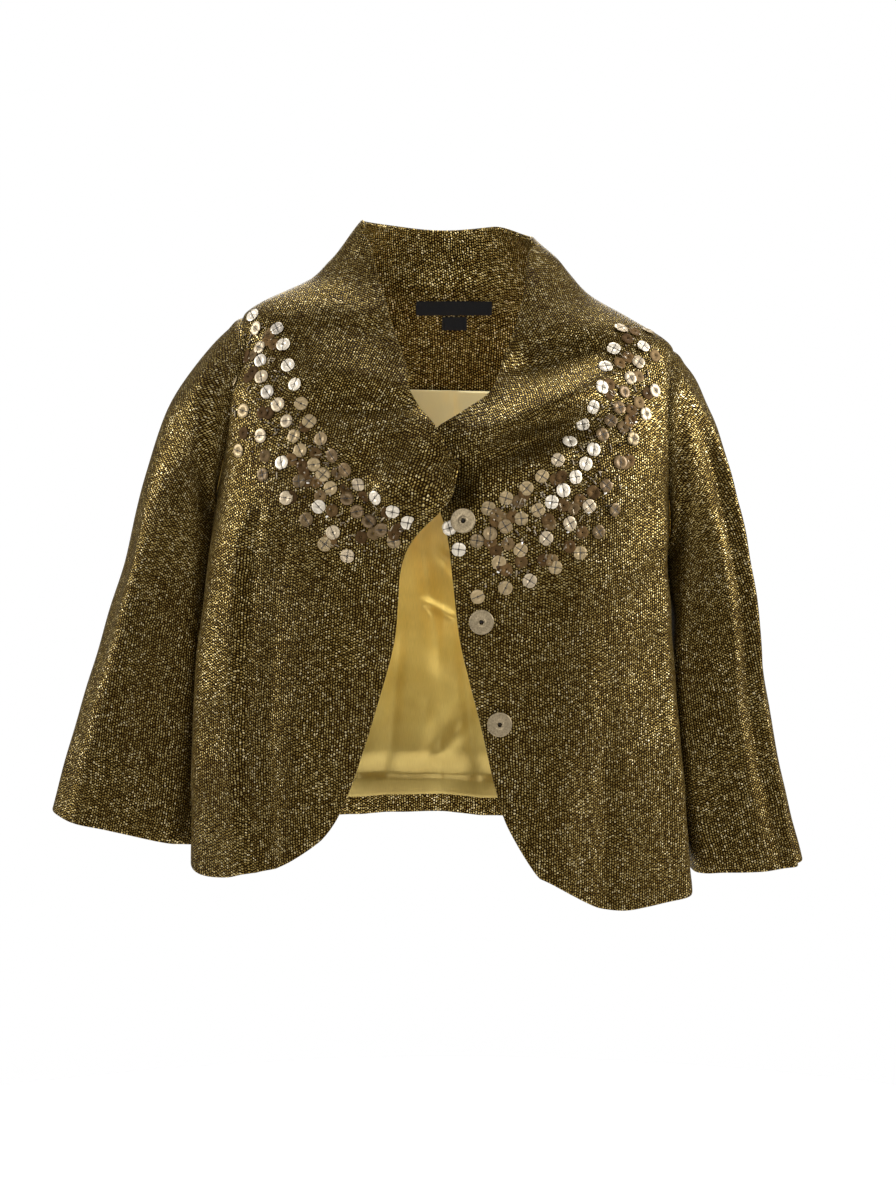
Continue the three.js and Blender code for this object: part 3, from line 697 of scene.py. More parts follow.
def tinted_material(name, metallic, roughness, coat, shine=0.5):
    """A glossy material whose colour is each piece's own, with a cloudy unevenness."""
    s = Shader(name)
    tint = s.node("ShaderNodeAttribute", {}, attribute_name="tint")
    place = s.object_place()
    cloud = s.noise(place, 260.0, 2.0)
    scuff = s.step(s.noise(place, 900.0, 2.0), 0.3, 0.75, roughness, roughness + 0.15)
    return s.finish(Base_Color=s.shade(tint, s.step(cloud, 0.3, 0.7, 0.85, 1.08)), Metallic=metallic,
                    Roughness=scuff, Coat_Weight=coat, Coat_Roughness=0.12, Specular_IOR_Level=shine,
                    Normal=s.bump(cloud, 0.15))


def button_material():
    """Greyish gold metal, brushed in rings and a little worn and spotted."""
    s = Shader("button_metal")
    u, v, place = s.cloth_place()
    ring = s.noise(s.vector(v * 5.0, u * 0.02), 1.0, 2.0)
    spot = s.noise(place, 0.5, 3.0)
    colour = s.mix(s.step(spot, 0.4, 0.7), (0.25, 0.195, 0.115), (0.15, 0.115, 0.065))
    colour = s.mix(s.step(ring, 0.3, 0.7, 0.0, 0.35), colour, (0.32, 0.26, 0.165))
    return s.finish(Base_Color=colour, Metallic=0.8, Roughness=s.step(spot, 0.3, 0.7, 0.38, 0.52),
                    Normal=s.bump(ring, 0.05))


def backdrop_material(name, tone, glow):
    """A plain grey that may glow white."""
    s = Shader(name)
    cloud = s.noise(s.object_place(), 6.0)
    return s.finish(Base_Color=s.mix(cloud, (tone,) * 3, (tone * 0.97,) * 3), Roughness=0.9,
                    Specular_IOR_Level=0.0, Emission_Color=(1.0, 1.0, 1.0), Emission_Strength=glow)


TWEED_CLOTH = tweed_material("tweed")
# The same tweed painted 1.8 times lighter: painted light on the shaded inside of the back and on the neck
# facing
PAINTED_LIGHT_TWEED = tweed_material("tweed_inside_painted_light", 1.8)
SATIN_CLOTH = satin_material()
LABEL_CLOTH = label_material()
DARK_THREAD = thread_material()
SEQUIN_SHINE = tinted_material("sequin", 0.5, 0.4, 0.08, 0.25)
DULL_SHINE = tinted_material("dull_sequin", 0.5, 0.6, 0.0, 0.05)
BEAD_SHINE = tinted_material("bead", 0.45, 0.25, 0.3)
BUTTON_METAL = button_material()


# ---- Cloth pieces ----
# Columns of each sheet's grid, and its rows up the skirt, the armhole and the yoke
FRONT_COLUMNS, FRONT_ROWS = 118, (120, 74, 46)
BACK_COLUMNS, BACK_ROWS = 181, (96, 62, 40)
BACK_LOWEST = -487
SEAM_ROLL = 2.6
SEAM_WIDTH = 3.4
SEAM_FADE = (-50, -10)  # levels between which the roll of the side seams dies out
BACK_SEAM = {"depth": 0.5, "width": 2.0}  # the dent of the seam down the middle of the back
FACING_WIDTH = 62  # the tweed facing inside each front edge
FRONT_HEM_BAND = 26  # the tweed inside the fronts' hem
UNDERLAP = {"degrees": 2.4, "between": (0.5, 8)}  # how far a panel goes on under the sleeve
COLLAR_CORNER = {"width": 13, "drop": 5, "from": 34}
COLLAR_WIDTH = 12  # degrees that a front keeps beside its side seam at the top of the collar
CURL = {"width": 24, "lift": 9, "levels": (-235, -190, -125, -95)}
UNDER_CORNER = {"x": 4, "z": -164, "width": 17, "height": 18, "depth": 17}  # the left front sinks under it


def cloth(name, node, slot, *wall_facts):
    """A sheet that stands for a node of the frame."""
    piece = wall(name, *wall_facts)
    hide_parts(node)


def row_ways(points):
    """Each point's way along its row from the first column, and from the last."""
    return way_along(points, 1), way_along(points[:, ::-1], 1)[:, ::-1]


def seam_roll(points, distance):
    """Turns the cloth in at a seam, given each point's distance from it, but not at the collar's top."""
    share = bell(distance, SEAM_WIDTH) * (1 - smoothstep(points[..., 2], *SEAM_FADE))
    return push(points, -SEAM_ROLL * share)


def crossing_lift(angle, level, from_edge):
    """How far the right front lies off the form, over the left front and up at its curled edge."""
    near = 1 - smoothstep(np.abs(angle), *CROSSING["angles"])
    return (CROSSING["lift"] * near * between(level, *CROSSING["levels"])
            + CURL["lift"] * bell(from_edge, CURL["width"]) * between(level, *CURL["levels"]))


def under_corner(points):
    """How far the left front sinks under the corner of the right one."""
    c = UNDER_CORNER
    return c["depth"] * bell(points[..., 0] - c["x"], c["width"]) * bell(points[..., 2] - c["z"], c["height"])


def underlap(level):
    """How far a panel goes on under the sleeve, in degrees: nothing where there is no armhole."""
    return UNDERLAP["degrees"] * smoothstep(side_turn(level, False), *UNDERLAP["between"])


def front_panel(side, node, edge, corner_level):
    """One front with its half of the collar. side is 1 for the wearer's left."""
    row_level = panel_levels(corner_level, *FRONT_ROWS)[:, None]
    share = np.linspace(0, 1, FRONT_COLUMNS + 1)[None, :]
    if side < 0:
        share = 1 - share
    edge_angle = angle_at_x(smooth_column(edge, 1, row_level), row_level, False)
    side_angle = side * (90 - side_turn(row_level, False) + underlap(row_level))
    edge_angle = side * np.minimum(side * edge_angle, side * side_angle - COLLAR_WIDTH)
    angle = mix(edge_angle, side_angle, share)
    turn_in = (1 - np.minimum(1, share / CORNER_SHARE)) ** 2
    level = row_level + hem_drop(angle, row_level, corner_level) * (1 - turn_in)
    from_edge, _ = row_ways(form_point(angle, level))[::side]
    corner = (1 - np.minimum(1, from_edge / COLLAR_CORNER["width"])) ** 2
    level = level - COLLAR_CORNER["drop"] * corner * top_share(row_level, COLLAR_CORNER["from"])
    points = form_point(angle, level)
    lift = crossing_lift(angle, level, from_edge) if side < 0 else -under_corner(points)
    points = push(points, lift, form_normal(angle, level))
    points = push(points, ripple(points))
    _, from_seam = row_ways(points)[::side]
    points = seam_roll(points, from_seam)
    in_band = (from_edge < FACING_WIDTH) | (row_level < corner_level + FRONT_HEM_BAND)
    kind = np.where(in_band[1:, 1:], 0, 1)
    cloth(node + "_cloth", node, "tweed", points, grain(angle, level, side * FRONT_GRAIN), TWEED,
          [TWEED_CLOTH, SATIN_CLOTH], kind)


def back_grid(row_level, shares, lap=0):
    """Angles, levels and points of a grid on the back. lap is 1 where it goes on under the sleeves."""
    row_level = row_level[:, None]
    turn = 90 - side_turn(row_level, True) + lap * underlap(row_level)
    angle = 180 + mix(-turn, turn, shares[None, :])
    level = row_level + hem_drop(angle, row_level, BACK_LOWEST)
    return angle, level, form_point(angle, level)


def back_panel():
    shares = np.linspace(0, 1, BACK_COLUMNS)
    angle, level, points = back_grid(panel_levels(BACK_LOWEST, *BACK_ROWS), shares, 1)
    points = push(points, ripple(points))
    points = seam_roll(points, np.minimum(*row_ways(points)))
    from_first, from_last = row_ways(points)
    centre = np.abs(from_first - from_last) / 2
    points = push(points, -BACK_SEAM["depth"] * bell(centre, BACK_SEAM["width"]))
    # Its inside is the lighter tweed, with painted light where the inside of the back lies in shade
    cloth("back_cloth", "back", "tweed", points, grain(angle, level, BACK_GRAIN), TWEED,
          [TWEED_CLOTH, PAINTED_LIGHT_TWEED], 1)


FACING_COLUMNS, FACING_ROWS = 151, 64
FACING_STITCH = {"up": 6, "width": 1.6, "depth": 0.25}  # the line along the neck facing's lower edge


def neck_facing():
    rows = np.linspace(FACING_LEVEL, COLLAR_TOP_LEVEL, FACING_ROWS)
    angle, level, points = back_grid(rows, np.linspace(0, 1, FACING_COLUMNS))
    stitch = bell(level - FACING_LEVEL - FACING_STITCH["up"], FACING_STITCH["width"])
    depth = TWEED + SEAM_GAP - ripple(points) - FACING_STITCH["depth"] * stitch
    # The facing is the lighter tweed, with painted light inside the collar
    cloth("neck_facing", "back_neck_facing", "tweed", push(points, -depth), grain(angle, level, BACK_GRAIN),
          FACING, [PAINTED_LIGHT_TWEED])


LINING_COLUMNS, LINING_ROWS = 141, 150
LINING_SIDES = (0.05, 0.95)  # shares of the back's width
LINING_FOLD = {"depth": 1.6, "levels": (-487, -460, -455, -452)}  # its hem is tucked up there
LINING_SLACK = {"depth": 3.6, "levels": (-452, -427)}  # above that it hangs clear of the back
LINING_SEAM = {"angle": 181, "width": 1.6, "height": 0.54}
# Creases of the lining: lower and upper angle and level, half width, height, held share
LINING_CREASES = [
    (150, -470, 168, -250, 12, 4, 0.5), (163, -480, 172, -300, 9, -3, 0.4),
    (196, -470, 188, -380, 14, 3.6, 0.4), (186, -440, 170, -405, 9, 2.4, 0.5),
    (206, -480, 202, -330, 8, -3, 0.6), (182, -350, 198, -180, 12, 3, 0.5),
    (176, -300, 190, -286, 5, -2.6, 0.7), (170, -262, 186, -238, 7, 2.4, 0.6),
    (172, -240, 158, -110, 9, 2.4, 0.5), (192, -215, 178, -190, 7, -2, 0.6),
    (190, -200, 204, -110, 10, 2.4, 0.5), (140, -400, 150, -200, 12, 2.6, 0.5),
    (226, -420, 216, -210, 12, 2.6, 0.5), (178, -130, 184, -90, 8, -2, 0.8)]


def lining():
    """The satin inside the back: tucked up at its hem, slack and creased above it, with a seam."""
    rows = np.linspace(BACK_LOWEST + HEM_BAND, FACING_LEVEL - SEAM_GAP, LINING_ROWS)
    angle, level, points = back_grid(rows, np.linspace(*LINING_SIDES, LINING_COLUMNS))
    from_seam = (angle - LINING_SEAM["angle"]) * MM_PER_DEGREE
    creases = fold_height(LINING_CREASES, short_swell, angle, level)
    depth = (TWEED + SEAM_GAP - ripple(points) - LINING_SEAM["height"] * bell(from_seam, LINING_SEAM["width"])
             + LINING_FOLD["depth"] * between(level, *LINING_FOLD["levels"])
             + smoothstep(level, *LINING_SLACK["levels"]) * (LINING_SLACK["depth"] + creases))
    cloth("back_lining_cloth", "back_lining", "satin", push(points, -depth), grain(angle, level, BACK_GRAIN),
          SATIN, [SATIN_CLOTH])


def armhole_ring(side, turn):
    """Points of the armhole on the form. turn goes from the tip, 0, down the front to the underarm, pi."""
    on_back = turn > math.pi
    step = np.where(on_back, 2 * math.pi - turn, turn)
    level = ARMHOLE_MIDDLE + (ARMHOLE_HALF - SEAM_GAP) * np.cos(step)
    depth = (ARMHOLE_HALF_DEPTH - SEAM_GAP) * np.sin(step)
    away = np.where(on_back, turn_to_depth(depth, level, True), -turn_to_depth(depth, level, False))
    return form_point(side * (90 + away), level)


def spline_down(rings, shares):
    """Rows on a centripetal Catmull-Rom curve through the rings, column by column."""
    first = 2 * rings[0] - rings[1]
    last = 2 * rings[-1] - rings[-2]
    points = np.concatenate([first[None], rings, last[None]])
    at = shares * (len(rings) - 1)
    i = np.minimum(at.astype(int), len(rings) - 2)
    p0, p1, p2, p3 = (points[i + k] for k in range(4))

    def knot(a, b):
        return np.maximum(np.linalg.norm(b - a, axis=-1, keepdims=True), 1e-6) ** 0.5

    d0, d1, d2 = knot(p0, p1), knot(p1, p2), knot(p2, p3)
    slope1 = ((p1 - p0) / d0 - (p2 - p0) / (d0 + d1) + (p2 - p1) / d1) * d1
    slope2 = ((p2 - p1) / d1 - (p3 - p1) / (d1 + d2) + (p3 - p2) / d2) * d1
    return cubic(p1, p2, slope1, slope2, (at - i)[:, None, None])


SLEEVE_COLUMNS, SLEEVE_ROWS = 132, 150
# How much squarer a sleeve is than an ellipse: along the body, and over its outer side, by degrees of turn
INNER_SQUARENESS = {"power": 4.5, "between": (70, 120, 145, 180)}
OUTER_SQUARENESS = {"power": 0.8, "outside": (60, 110, 250, 300)}
SQUARE_RINGS = 3  # it grows over so many rings
SQUARE_LOSS = 0.2  # and goes back by this share a ring after them
SLEEVE_SEAM = {"in": 1.2, "puff": 1.4, "from": 9, "width": 6, "inner_share": 0.4}
UNDERARM_FILL = {"out": 12, "turn": 166, "width": 30, "between": (0.01, 0.06, 0.2, 0.45)}  # meets the body
SLEEVE_RADIUS = 46.0
CREASE_SWELL = (0, 0.45, 1.0, 1.3)
SLEEVE_WARP_START = 700  # the sleeves' weave is not the body's; it puts their satin past the lining's painted shade, in its painted light and highlight
CUFF_BAND = 28


def sleeve(side, node, table, creases):
    """A sleeve from its armhole to its cuff, swept through the rings of its table."""
    turn = full_turn(SLEEVE_COLUMNS)
    cos, sin, degrees = np.cos(turn), np.sin(turn), np.degrees(turn)
    square = (INNER_SQUARENESS["power"] * between(degrees, *INNER_SQUARENESS["between"])
              + OUTER_SQUARENESS["power"] * (1 - between(degrees, *OUTER_SQUARENESS["outside"])))
    rings = [armhole_ring(side, turn)]
    for number, (out_x, out_z, in_x, in_z, mid_y, half_depth, front_drop) in enumerate(table):
        share = min(1, number / SQUARE_RINGS) - SQUARE_LOSS * max(0, number - SQUARE_RINGS)
        power = 2 + share * square
        across = np.sign(cos) * np.abs(cos) ** (2 / power)
        depth = np.sign(sin) * np.abs(sin) ** (2 / power)
        x = mix(in_x, out_x, 0.5 + across / 2)
        z = mix(in_z, out_z, 0.5 + across / 2) - front_drop * depth
        rings.append(side_swell(joined(x, mid_y - half_depth * depth, z)))
    shares = np.linspace(0, 1, SLEEVE_ROWS + 1)
    points = spline_down(np.array(rings), shares)
    from_seam = way_along(points, 0)
    puff = mix(SLEEVE_SEAM["inner_share"], 1, np.maximum(cos, 0))
    fill = bell(degrees - UNDERARM_FILL["turn"], UNDERARM_FILL["width"])
    rise = (ripple(points) - SLEEVE_SEAM["in"] * bell(from_seam, SEAM_WIDTH)
            + SLEEVE_SEAM["puff"] * bell(from_seam - SLEEVE_SEAM["from"], SLEEVE_SEAM["width"]) * puff
            + UNDERARM_FILL["out"] * fill * between(shares, *UNDERARM_FILL["between"])[:, None])
    for low_turn, low, top_turn, top, half_width, height in creases:
        spot = ((shares - top) / (low - top))[:, None]
        away = (degrees - mix(top_turn, low_turn, np.clip(spot, 0, 1)) + 180) % 360 - 180
        beside = np.radians(away) * SLEEVE_RADIUS
        rise = rise + height * between(spot, *CREASE_SWELL) * bell(beside, half_width)
    points = push(points, rise, grid_normals(points, True) * side)
    closed = close(points, 1)
    around = way_along(closed, 1)
    around = around - around[:, SLEEVE_COLUMNS // 2, None]
    up = way_along(closed[::-1], 0)[::-1]
    uvs = joined(around * side, up + SLEEVE_WARP_START)
    kind = np.where((up[:-1, :-1] + up[1:, 1:]) / 2 > CUFF_BAND, 1, 0)
    cloth(node + "_cloth", node, "tweed", points, uvs, TWEED, [TWEED_CLOTH, SATIN_CLOTH], kind, True, side)


TAPE_COLUMNS, TAPE_ROWS = 61, 17
TAPE_END = {"from": 2.2, "width": 0.8, "depth": 0.3}  # the dent across each end of a tape


def tape(name, node, size):
    """A small flat tape on the inside of the neck facing, its ends turned under."""
    share_x = np.linspace(0.5, -0.5, TAPE_COLUMNS)[None, :]
    share_z = np.linspace(-0.5, 0.5, TAPE_ROWS)[:, None]
    across = size["x"] + size["width"] * share_x
    level = size["z"] + size["height"] * share_z + BACK_TILT * across
    from_end = (0.5 - np.abs(share_x)) * size["width"]
    dent = TAPE_END["depth"] * bell(from_end - TAPE_END["from"], TAPE_END["width"])
    points = push(form_point(angle_at_x(across, level, True), level), dent - LABEL_DEPTH)
    piece = wall(name, points, joined(across, level), size["thickness"], [LABEL_CLOTH])
    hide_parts(node)


back_panel()
front_panel(-1, "front_right", RIGHT_EDGE, RIGHT_CORNER_LEVEL)
front_panel(1, "front_left", LEFT_EDGE, LEFT_CORNER_LEVEL)
sleeve(-1, "sleeve_right", RIGHT_SLEEVE, RIGHT_SLEEVE_CREASES)
sleeve(1, "sleeve_left", LEFT_SLEEVE, LEFT_SLEEVE_CREASES)
neck_facing()
lining()
tape("neck_label", "label", LABEL)
tape("size_label", "size_tab", SIZE_TAB)


# ---- Small pieces, each kind joined into one mesh ----
SEQUIN = {"radius": 6.1, "thickness": 0.55, "sides": 32, "notch_depth": 0.13, "notch_width": 0.16}
HOLE = 0.13  # a sequin's hole, as a share of its radius
SEQUIN_PROFILE = [(HOLE, -0.5), (0.97, -0.5), (1.0, 0.0), (0.95, 0.45), (0.7, 0.7), (HOLE, 0.85)]
ROD_SIDES = 8
ROD_PROFILE = [(-0.5, 0.0), (-0.5, 0.55), (-0.46, 0.85), (-0.4, 1.0), (0.4, 1.0), (0.46, 0.85),
               (0.5, 0.55), (0.5, 0.0)]


def front_place(x, level):
    """Angle, point and normal of the form at a place of its front."""
    angle = angle_at_x(x, level, False)
    return angle, form_point(angle, level), form_normal(angle, level)


def surface_place(side, x, z):
    """Point and normal on a front's outer face, at a place seen from the front."""
    level = z + FRONT_TILT * x
    angle, point, normal = front_place(x, level)
    if side < 0:
        point = point + normal * crossing_lift(angle, level, abs(x - smooth_column(RIGHT_EDGE, 1, level)))
    return point + normal * ripple(point), normal


def placing(point, normal, turn, size=(1, 1, 1)):
    """Axes and origin that lay a shape's z along the normal, turned in the surface."""
    across = unit(np.cross([0.0, 0.0, 1.0], normal))
    along = np.cross(normal, across)
    first = across * math.cos(turn) + along * math.sin(turn)
    return np.stack([first, np.cross(normal, first), normal]) * np.array(size)[:, None], point


def rod(length, radius):
    """A rod along x with round ends."""
    x, r = np.array(ROD_PROFILE).T[..., None]
    turn = full_turn(ROD_SIDES)
    return joined(x * length, r * radius * np.cos(turn), r * radius * np.sin(turn)), (1,)


def disc(notches):
    """A sequin: a thin slightly domed disc with a hole and notches in its edge, where its threads pass."""
    share, height = np.array(SEQUIN_PROFILE).T[..., None]
    turn = full_turn(SEQUIN["sides"])
    near = ((turn * notches / (2 * math.pi) + 0.5) % 1 - 0.5) * 2 * math.pi / notches
    cut = 1 - SEQUIN["notch_depth"] * bell(near, SEQUIN["notch_width"]) * (share > 0.5)
    r = SEQUIN["radius"] * share * cut
    return joined(r * np.cos(turn), r * np.sin(turn), height * SEQUIN["thickness"]), (0, 1)


DISCS = {notches: disc(notches) for notches in (2, 4)}
STITCH = rod(SEQUIN["radius"] * 1.75, 0.36)
BUGLE = rod(6.5, 0.65)
SEED = rod(2.0, 1.0)
BUTTON_STITCH = rod(3.0, 0.45)
# How far the middle of each shape lies off the cloth, and how it is scaled in length and in thickness
SEQUIN_OFF, STITCH_OFF, BEAD_OFF, DULL_OFF = 0.9, 1.25, 0.8, 0.45
STITCH_SIZE, DULL_SIZE = (1, 1, 0.8), (0.92, 0.92, 0.8)
SEED_SIZE, DROP_SIZE = (0.8, 0.7, 0.7), (1.2, 0.8, 0.8)
# What is left to chance: how far sequins lean, lie off their curve and turn, and how sizes and tones differ
LEAN, DULL_LEAN = 0.07, 0.05
SEQUIN_STRAY, BEAD_STRAY = 0.8, 1.2
SEQUIN_TURN, BUGLE_TURN = 0.25, 0.2
SECOND_TURN = 0.8  # half of the sequins are turned on by this
ANY_TURN = (0, 3)
BUGLE_LENGTHS = (0.5, 1.0)
SEQUIN_SIZES, SEQUIN_TONES = (0.96, 1.04), (0.88, 1.1)
SMALL_TONES = (0.7, 1.2)

TINTS = {
    "white": (0.60, 0.53, 0.42), "silver": (0.42, 0.37, 0.30), "cream": (0.40, 0.32, 0.21),
    "gold": (0.29, 0.215, 0.110), "tan": (0.21, 0.15, 0.075), "bronze": (0.14, 0.090, 0.040),
    "dull": (0.11, 0.072, 0.030)}
DULL_TINTS = [(0.100, 0.058, 0.022), (0.135, 0.088, 0.040), (0.060, 0.033, 0.012)]
SEED_TINTS = [(0.20, 0.15, 0.08), (0.12, 0.085, 0.045), (0.30, 0.24, 0.16), (0.08, 0.055, 0.03)]
BUGLE_TINTS = SEED_TINTS[:2]
DROP_TINT = (0.75, 0.7, 0.62)

# Rows of sequins as smooth curves through a few places (x, z) of the front, and their colours in runs
ROWS = [
    (-1, [(-148, -31), (-121, -103), (-83, -155), (-33, -193)],
     [("silver", 1), ("white", 3), ("gold", 2), ("tan", 1), ("bronze", 2), ("cream", 1), ("white", 3)]),
    (-1, [(-171, -20), (-147, -95), (-103, -159), (-45, -212)],
     [("white", 1), ("cream", 2), ("silver", 1), ("cream", 1), ("silver", 1), ("cream", 2), ("gold", 5),
      ("bronze", 4), ("tan", 1)]),
    (-1, [(-187, -56), (-154, -126), (-112, -177), (-84, -224)],
     [("dull", 1), ("gold", 2), ("cream", 1), ("white", 1), ("dull", 1), ("white", 1), ("cream", 2)]),
    (-1, [(-170, -136), (-146, -164), (-104, -213)],
     [("gold", 1), ("dull", 1), ("cream", 1), ("dull", 1), ("gold", 1)]),
    (1, [(150, -31), (118, -106), (76, -157), (34, -184)],
     [("cream", 1), ("white", 6), ("cream", 1), ("gold", 4)]),
    (1, [(176, -34), (142, -103), (98, -168), (24, -211)],
     [("gold", 1), ("white", 1), ("cream", 2), ("bronze", 4), ("white", 5), ("gold", 2), ("tan", 3)]),
    (1, [(179, -86), (149, -140), (110, -190), (42, -228)],
     [("cream", 2), ("gold", 1), ("bronze", 2), ("cream", 3), ("gold", 2)]),
    (1, [(141, -185), (111, -220), (70, -242), (25, -258)],
     [("dull", 2), ("gold", 2), ("cream", 1), ("gold", 2)])]
NOTCHES = {-1: 2, 1: 4}  # how most sequins of each side are threaded
NOTCHES_SHARE = 0.8  # and how large a share of them that is
SINGLES = [(1, 1, -199, "white"), (1, 9, -217, "white")]
DROPS = [(1, 133, -171), (1, 101, -203), (1, 42, -236), (1, 119, -187), (1, 62, -212), (-1, -118, -162),
         (-1, -148, -96), (-1, -70, -196), (-1, -102, -190), (1, 160, -112)]
# Bands between two rows: the rows, and how many dull sequins, seed beads and bugles fill the band
BANDS = [(0, 1, 12, 70, 16), (1, 2, 16, 60, 12), (4, 5, 14, 80, 18), (5, 6, 18, 70, 14), (6, 7, 9, 44, 8),
         (2, 3, 5, 24, 6)]
CURVE_STEPS = 200
BAND_PLACES = 60  # places along a row from which those are scattered
BAND_SHARES = (0.2, 0.8)  # how far across their band they lie


def along_curve(places, count):
    """Evenly spaced places on a smooth curve through a few, and its direction at each."""
    fine = spline_down(np.array(places, float)[:, None, :], np.linspace(0, 1, CURVE_STEPS))[:, 0]
    way = way_along(fine, 0)
    at = np.linspace(0, way[-1], count)
    spots, ahead, behind = (
        np.stack([np.interp(at + move, way, fine[:, k]) for k in range(2)], -1) for move in (0, 1, -1))
    return spots, unit(ahead - behind)


ROW_PLACES = [along_curve(places, BAND_PLACES)[0] for _, places, _ in ROWS]
sequins, dull_sequins, stitches, beads = Builder(), Builder(), Builder(), Builder()


def tinted(tint, tones):
    """A colour made darker or lighter by chance."""
    return (np.array(tint) * draw.uniform(*tones)).clip(0, 1)


def leaning(normal, amount):
    return unit(normal + draw.normal(size=3) * amount)


def add_sequin(side, x, z, tint, notches, turn):
    point, normal = surface_place(side, x, z)
    lean = leaning(normal, LEAN)
    shade = tinted(TINTS[tint], SEQUIN_TONES)
    size = draw.uniform(*SEQUIN_SIZES)
    sequins.add_copy(DISCS[notches], placing(point + normal * SEQUIN_OFF, lean, turn, (size, size, 1)), shade)
    for k in range(notches // 2):
        place = placing(point + normal * STITCH_OFF, lean, turn + k * math.pi / 2, STITCH_SIZE)
        stitches.add_copy(STITCH, place)


def add_dull_sequin(side, x, z):
    tint = DULL_TINTS[draw.integers(len(DULL_TINTS))]
    point, normal = surface_place(side, x, z)
    lean = leaning(normal, DULL_LEAN)
    place = placing(point + normal * DULL_OFF, lean, draw.uniform(*ANY_TURN), DULL_SIZE)
    dull_sequins.add_copy(DISCS[4], place, tinted(tint, SMALL_TONES))


def add_bead(side, x, z, shape, tint, turn, size):
    point, normal = surface_place(side, x, z)
    beads.add_copy(shape, placing(point + normal * BEAD_OFF, normal, turn, size), tinted(tint, SMALL_TONES))


def band_place(first, second):
    """A random place between two rows, and the direction across the band."""
    i = draw.integers(BAND_PLACES)
    a, b = ROW_PLACES[first][i], ROW_PLACES[second][i]
    place = mix(a, b, draw.uniform(*BAND_SHARES)) + draw.normal(size=2) * BEAD_STRAY
    return *place, math.atan2(*(b - a)[::-1])


for side, places, runs in ROWS:
    names = [name for name, count in runs for _ in range(count)]
    spots, directions = along_curve(places, len(names))
    for spot, direction, tint in zip(spots, directions, names):
        x, z = spot + draw.normal(size=2) * SEQUIN_STRAY
        turn = (math.atan2(direction[1], direction[0]) + draw.normal() * SEQUIN_TURN
                + draw.integers(2) * SECOND_TURN)
        notches = NOTCHES[side if draw.random() < NOTCHES_SHARE else -side]
        add_sequin(side, x, z, tint, notches, turn)
for side, x, z, tint in SINGLES:
    add_sequin(side, x, z, tint, NOTCHES[side], draw.uniform(*ANY_TURN))

for first, second, dull_count, seed_count, bugle_count in BANDS:
    side = ROWS[first][0]
    for _ in range(dull_count):
        x, z, _ = band_place(first, second)
        add_dull_sequin(side, x, z)
    for _ in range(seed_count):
        x, z, _ = band_place(first, second)
        tint = SEED_TINTS[draw.integers(len(SEED_TINTS))]
        add_bead(side, x, z, SEED, tint, draw.uniform(*ANY_TURN), SEED_SIZE)
    for _ in range(bugle_count):
        x, z, across = band_place(first, second)
        tint = BUGLE_TINTS[draw.integers(len(BUGLE_TINTS))]
        turn = across + draw.normal() * BUGLE_TURN
        add_bead(side, x, z, BUGLE, tint, turn, (draw.uniform(*BUGLE_LENGTHS), 1, 1))
# A few bright drops catch the light in each band
for side, x, z in DROPS:
    add_bead(side, x, z, SEED, DROP_TINT, draw.uniform(*ANY_TURN), DROP_SIZE)

sequins.make("sequins", [SEQUIN_SHINE])
dull_sequins.make("dull_sequins", [DULL_SHINE])
stitches.make("sequin_threads", [DARK_THREAD])
beads.make("beads", [BEAD_SHINE])


BUTTON_SIDES = 72
BUTTON_TURN = 0.3  # each disc is turned by this from the one before
BRUSH_LENGTH = 10  # how far the brushed texture runs in one radian
BUTTON_THREADS = 3
THREAD_HEIGHT, THREAD_STEP = 1.2, 0.3  # how high the first of a button's threads lies, under the disc
THREAD_TURN = 0.4  # how far that one is turned


def button(number, x, level):
    """A flat metal disc with a raised ring round its hole, and the thread that holds it."""
    outer, hole, rim = BUTTON["diameter"] / 2, BUTTON["hole"] / 2, BUTTON["rim"] / 2
    top = BUTTON["thickness"]
    face = top - BUTTON["raised"]
    # Radius and height round the profile, whose edges are a little rounded
    profile = [(hole + 0.3, 0), (outer - 0.9, 0), (outer - 0.4, 0.15), (outer, 0.7), (outer, top - 1.1),
               (outer - 0.25, top - 0.75), (outer - 0.8, face), (outer - 1.6, face - 0.1),
               (rim + 1.1, face - 0.15), (rim + 0.5, face + 0.05), (rim, top - 0.1), (rim - 0.3, top),
               (hole + 0.5, top), (hole + 0.1, top - 0.2), (hole, top - 0.6), (hole, 0.4), (hole + 0.3, 0)]
    _, point, normal = front_place(x, level)
    back = point + normal * (BUTTON["stand_off"] + THREAD_HEIGHT)
    axes, origin = placing(back, normal, BUTTON_TURN * number)
    turns = np.linspace(0, 2 * math.pi, BUTTON_SIDES + 1)
    rings = np.array([[(r * math.cos(t), r * math.sin(t), h) for t in turns[:-1]] for r, h in profile[:-1]])
    uvs = np.array([[(t * BRUSH_LENGTH, r) for t in turns] for r, _ in profile])
    builder = Builder()
    builder.add_grid(close(close(builder.add_points(rings @ axes + origin), 0), 1), uvs)
    piece = builder.make(f"button_{number}_disc", [BUTTON_METAL])
    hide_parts(f"button_{number}")
    thread = Builder()
    for k in range(BUTTON_THREADS):
        knot = point + normal * (THREAD_HEIGHT + THREAD_STEP * k)
        thread.add_copy(BUTTON_STITCH, placing(knot, normal, THREAD_TURN + k))
    thread.make(f"button_{number}_thread", [DARK_THREAD])


for number, (x, level) in enumerate(BUTTONS, 1):
    button(number, x, level)


# ---- Camera, light and floor, in metres ----
TARGET = Vector((0, 0, -0.27))
CAMERA = {"distance": 2.1, "elevation": 6, "lens": 70.67, "sensor": 36}
FLOOR_LEVEL = -1.25
FLOOR_RADIUS = 1.8
FLOOR_SIDES = 64
DOME_RADIUS = 9.0
LIGHT_DISTANCE = 2.8
LIGHT_SIZE = 1.5
AMBIENT = 0.25
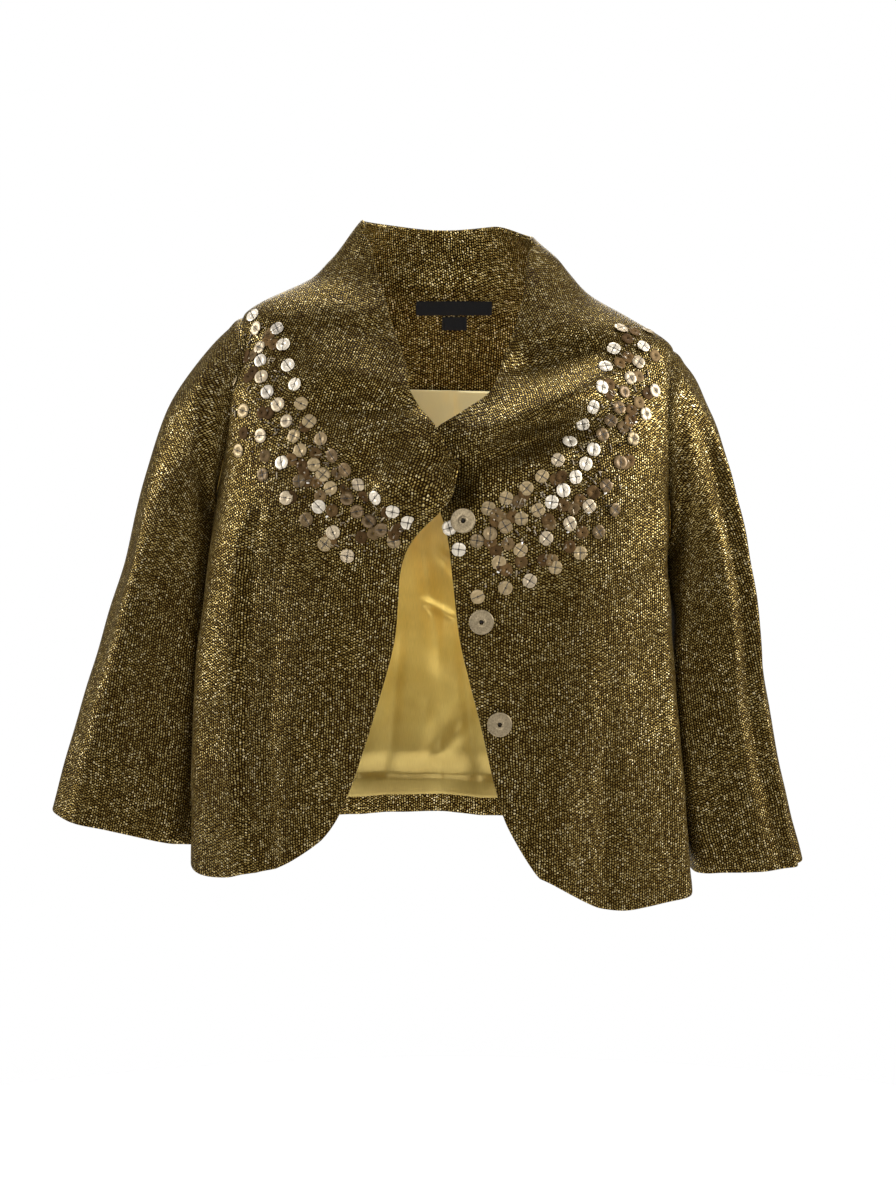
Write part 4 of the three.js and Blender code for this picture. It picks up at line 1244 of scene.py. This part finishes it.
# Soft lights: name, azimuth, elevation, and strength, where 1 lights white as white
LIGHTS = [("front", -4, 20, 0.45), ("top", 175, 70, 1.35), ("right", 84, 20, 1.9), ("left", -84, 18, 1.15),
          ("rear", 180, 30, 0.5)]


def aim(thing, azimuth, elevation, distance):
    """Turns a camera or light to the target. Azimuth 0 is in front, 90 on the wearer's left."""
    turn, rise = math.radians(azimuth), math.radians(elevation)
    away = Vector((math.cos(rise) * math.sin(turn), -math.cos(rise) * math.cos(turn), math.sin(rise)))
    thing.location = TARGET + away * distance
    thing.rotation_euler = (-away).to_track_quat("-Z", "Y").to_euler()


camera = bpy.data.cameras.new("camera")
camera.lens = CAMERA["lens"]
camera.sensor_width = CAMERA["sensor"]
bpy.context.scene.camera = show("camera", camera)
aim(bpy.context.scene.camera, 0, CAMERA["elevation"], CAMERA["distance"])

for name, azimuth, elevation, strength in LIGHTS:
    light = bpy.data.lights.new(name, "AREA")
    light.shape = "SQUARE"
    light.size = LIGHT_SIZE
    light.energy = strength * (math.pi * LIGHT_DISTANCE) ** 2
    aim(show(name, light), azimuth, elevation, LIGHT_DISTANCE)

floor_mesh = bpy.data.meshes.new("floor")
ring = [(FLOOR_RADIUS * math.cos(t), FLOOR_RADIUS * math.sin(t), FLOOR_LEVEL) for t in full_turn(FLOOR_SIDES)]
floor_mesh.from_pydata(ring, [], [tuple(range(FLOOR_SIDES))])
floor_mesh.materials.append(backdrop_material("floor_white", 0.9, 0.3))

# A white dome that only the camera sees, so that it casts no light
dome_mesh = bpy.data.meshes.new("dome")
shell = bmesh.new()
bmesh.ops.create_uvsphere(shell, u_segments=48, v_segments=24, radius=DOME_RADIUS)
shell.to_mesh(dome_mesh)
shell.free()
dome_mesh.materials.append(backdrop_material("dome_white", 0.0, 1.0))
floor, dome = show("floor", floor_mesh), show("dome", dome_mesh)
dome.visible_diffuse = dome.visible_glossy = dome.visible_transmission = dome.visible_shadow = False

world = bpy.data.worlds.new("studio")
world.use_nodes = True
background = next(n for n in world.node_tree.nodes if n.type == "BACKGROUND")
background.inputs[0].default_value = (1, 1, 1, 1)
background.inputs[1].default_value = AMBIENT
bpy.context.scene.world = world
bpy.context.scene.view_settings.view_transform = "Standard"
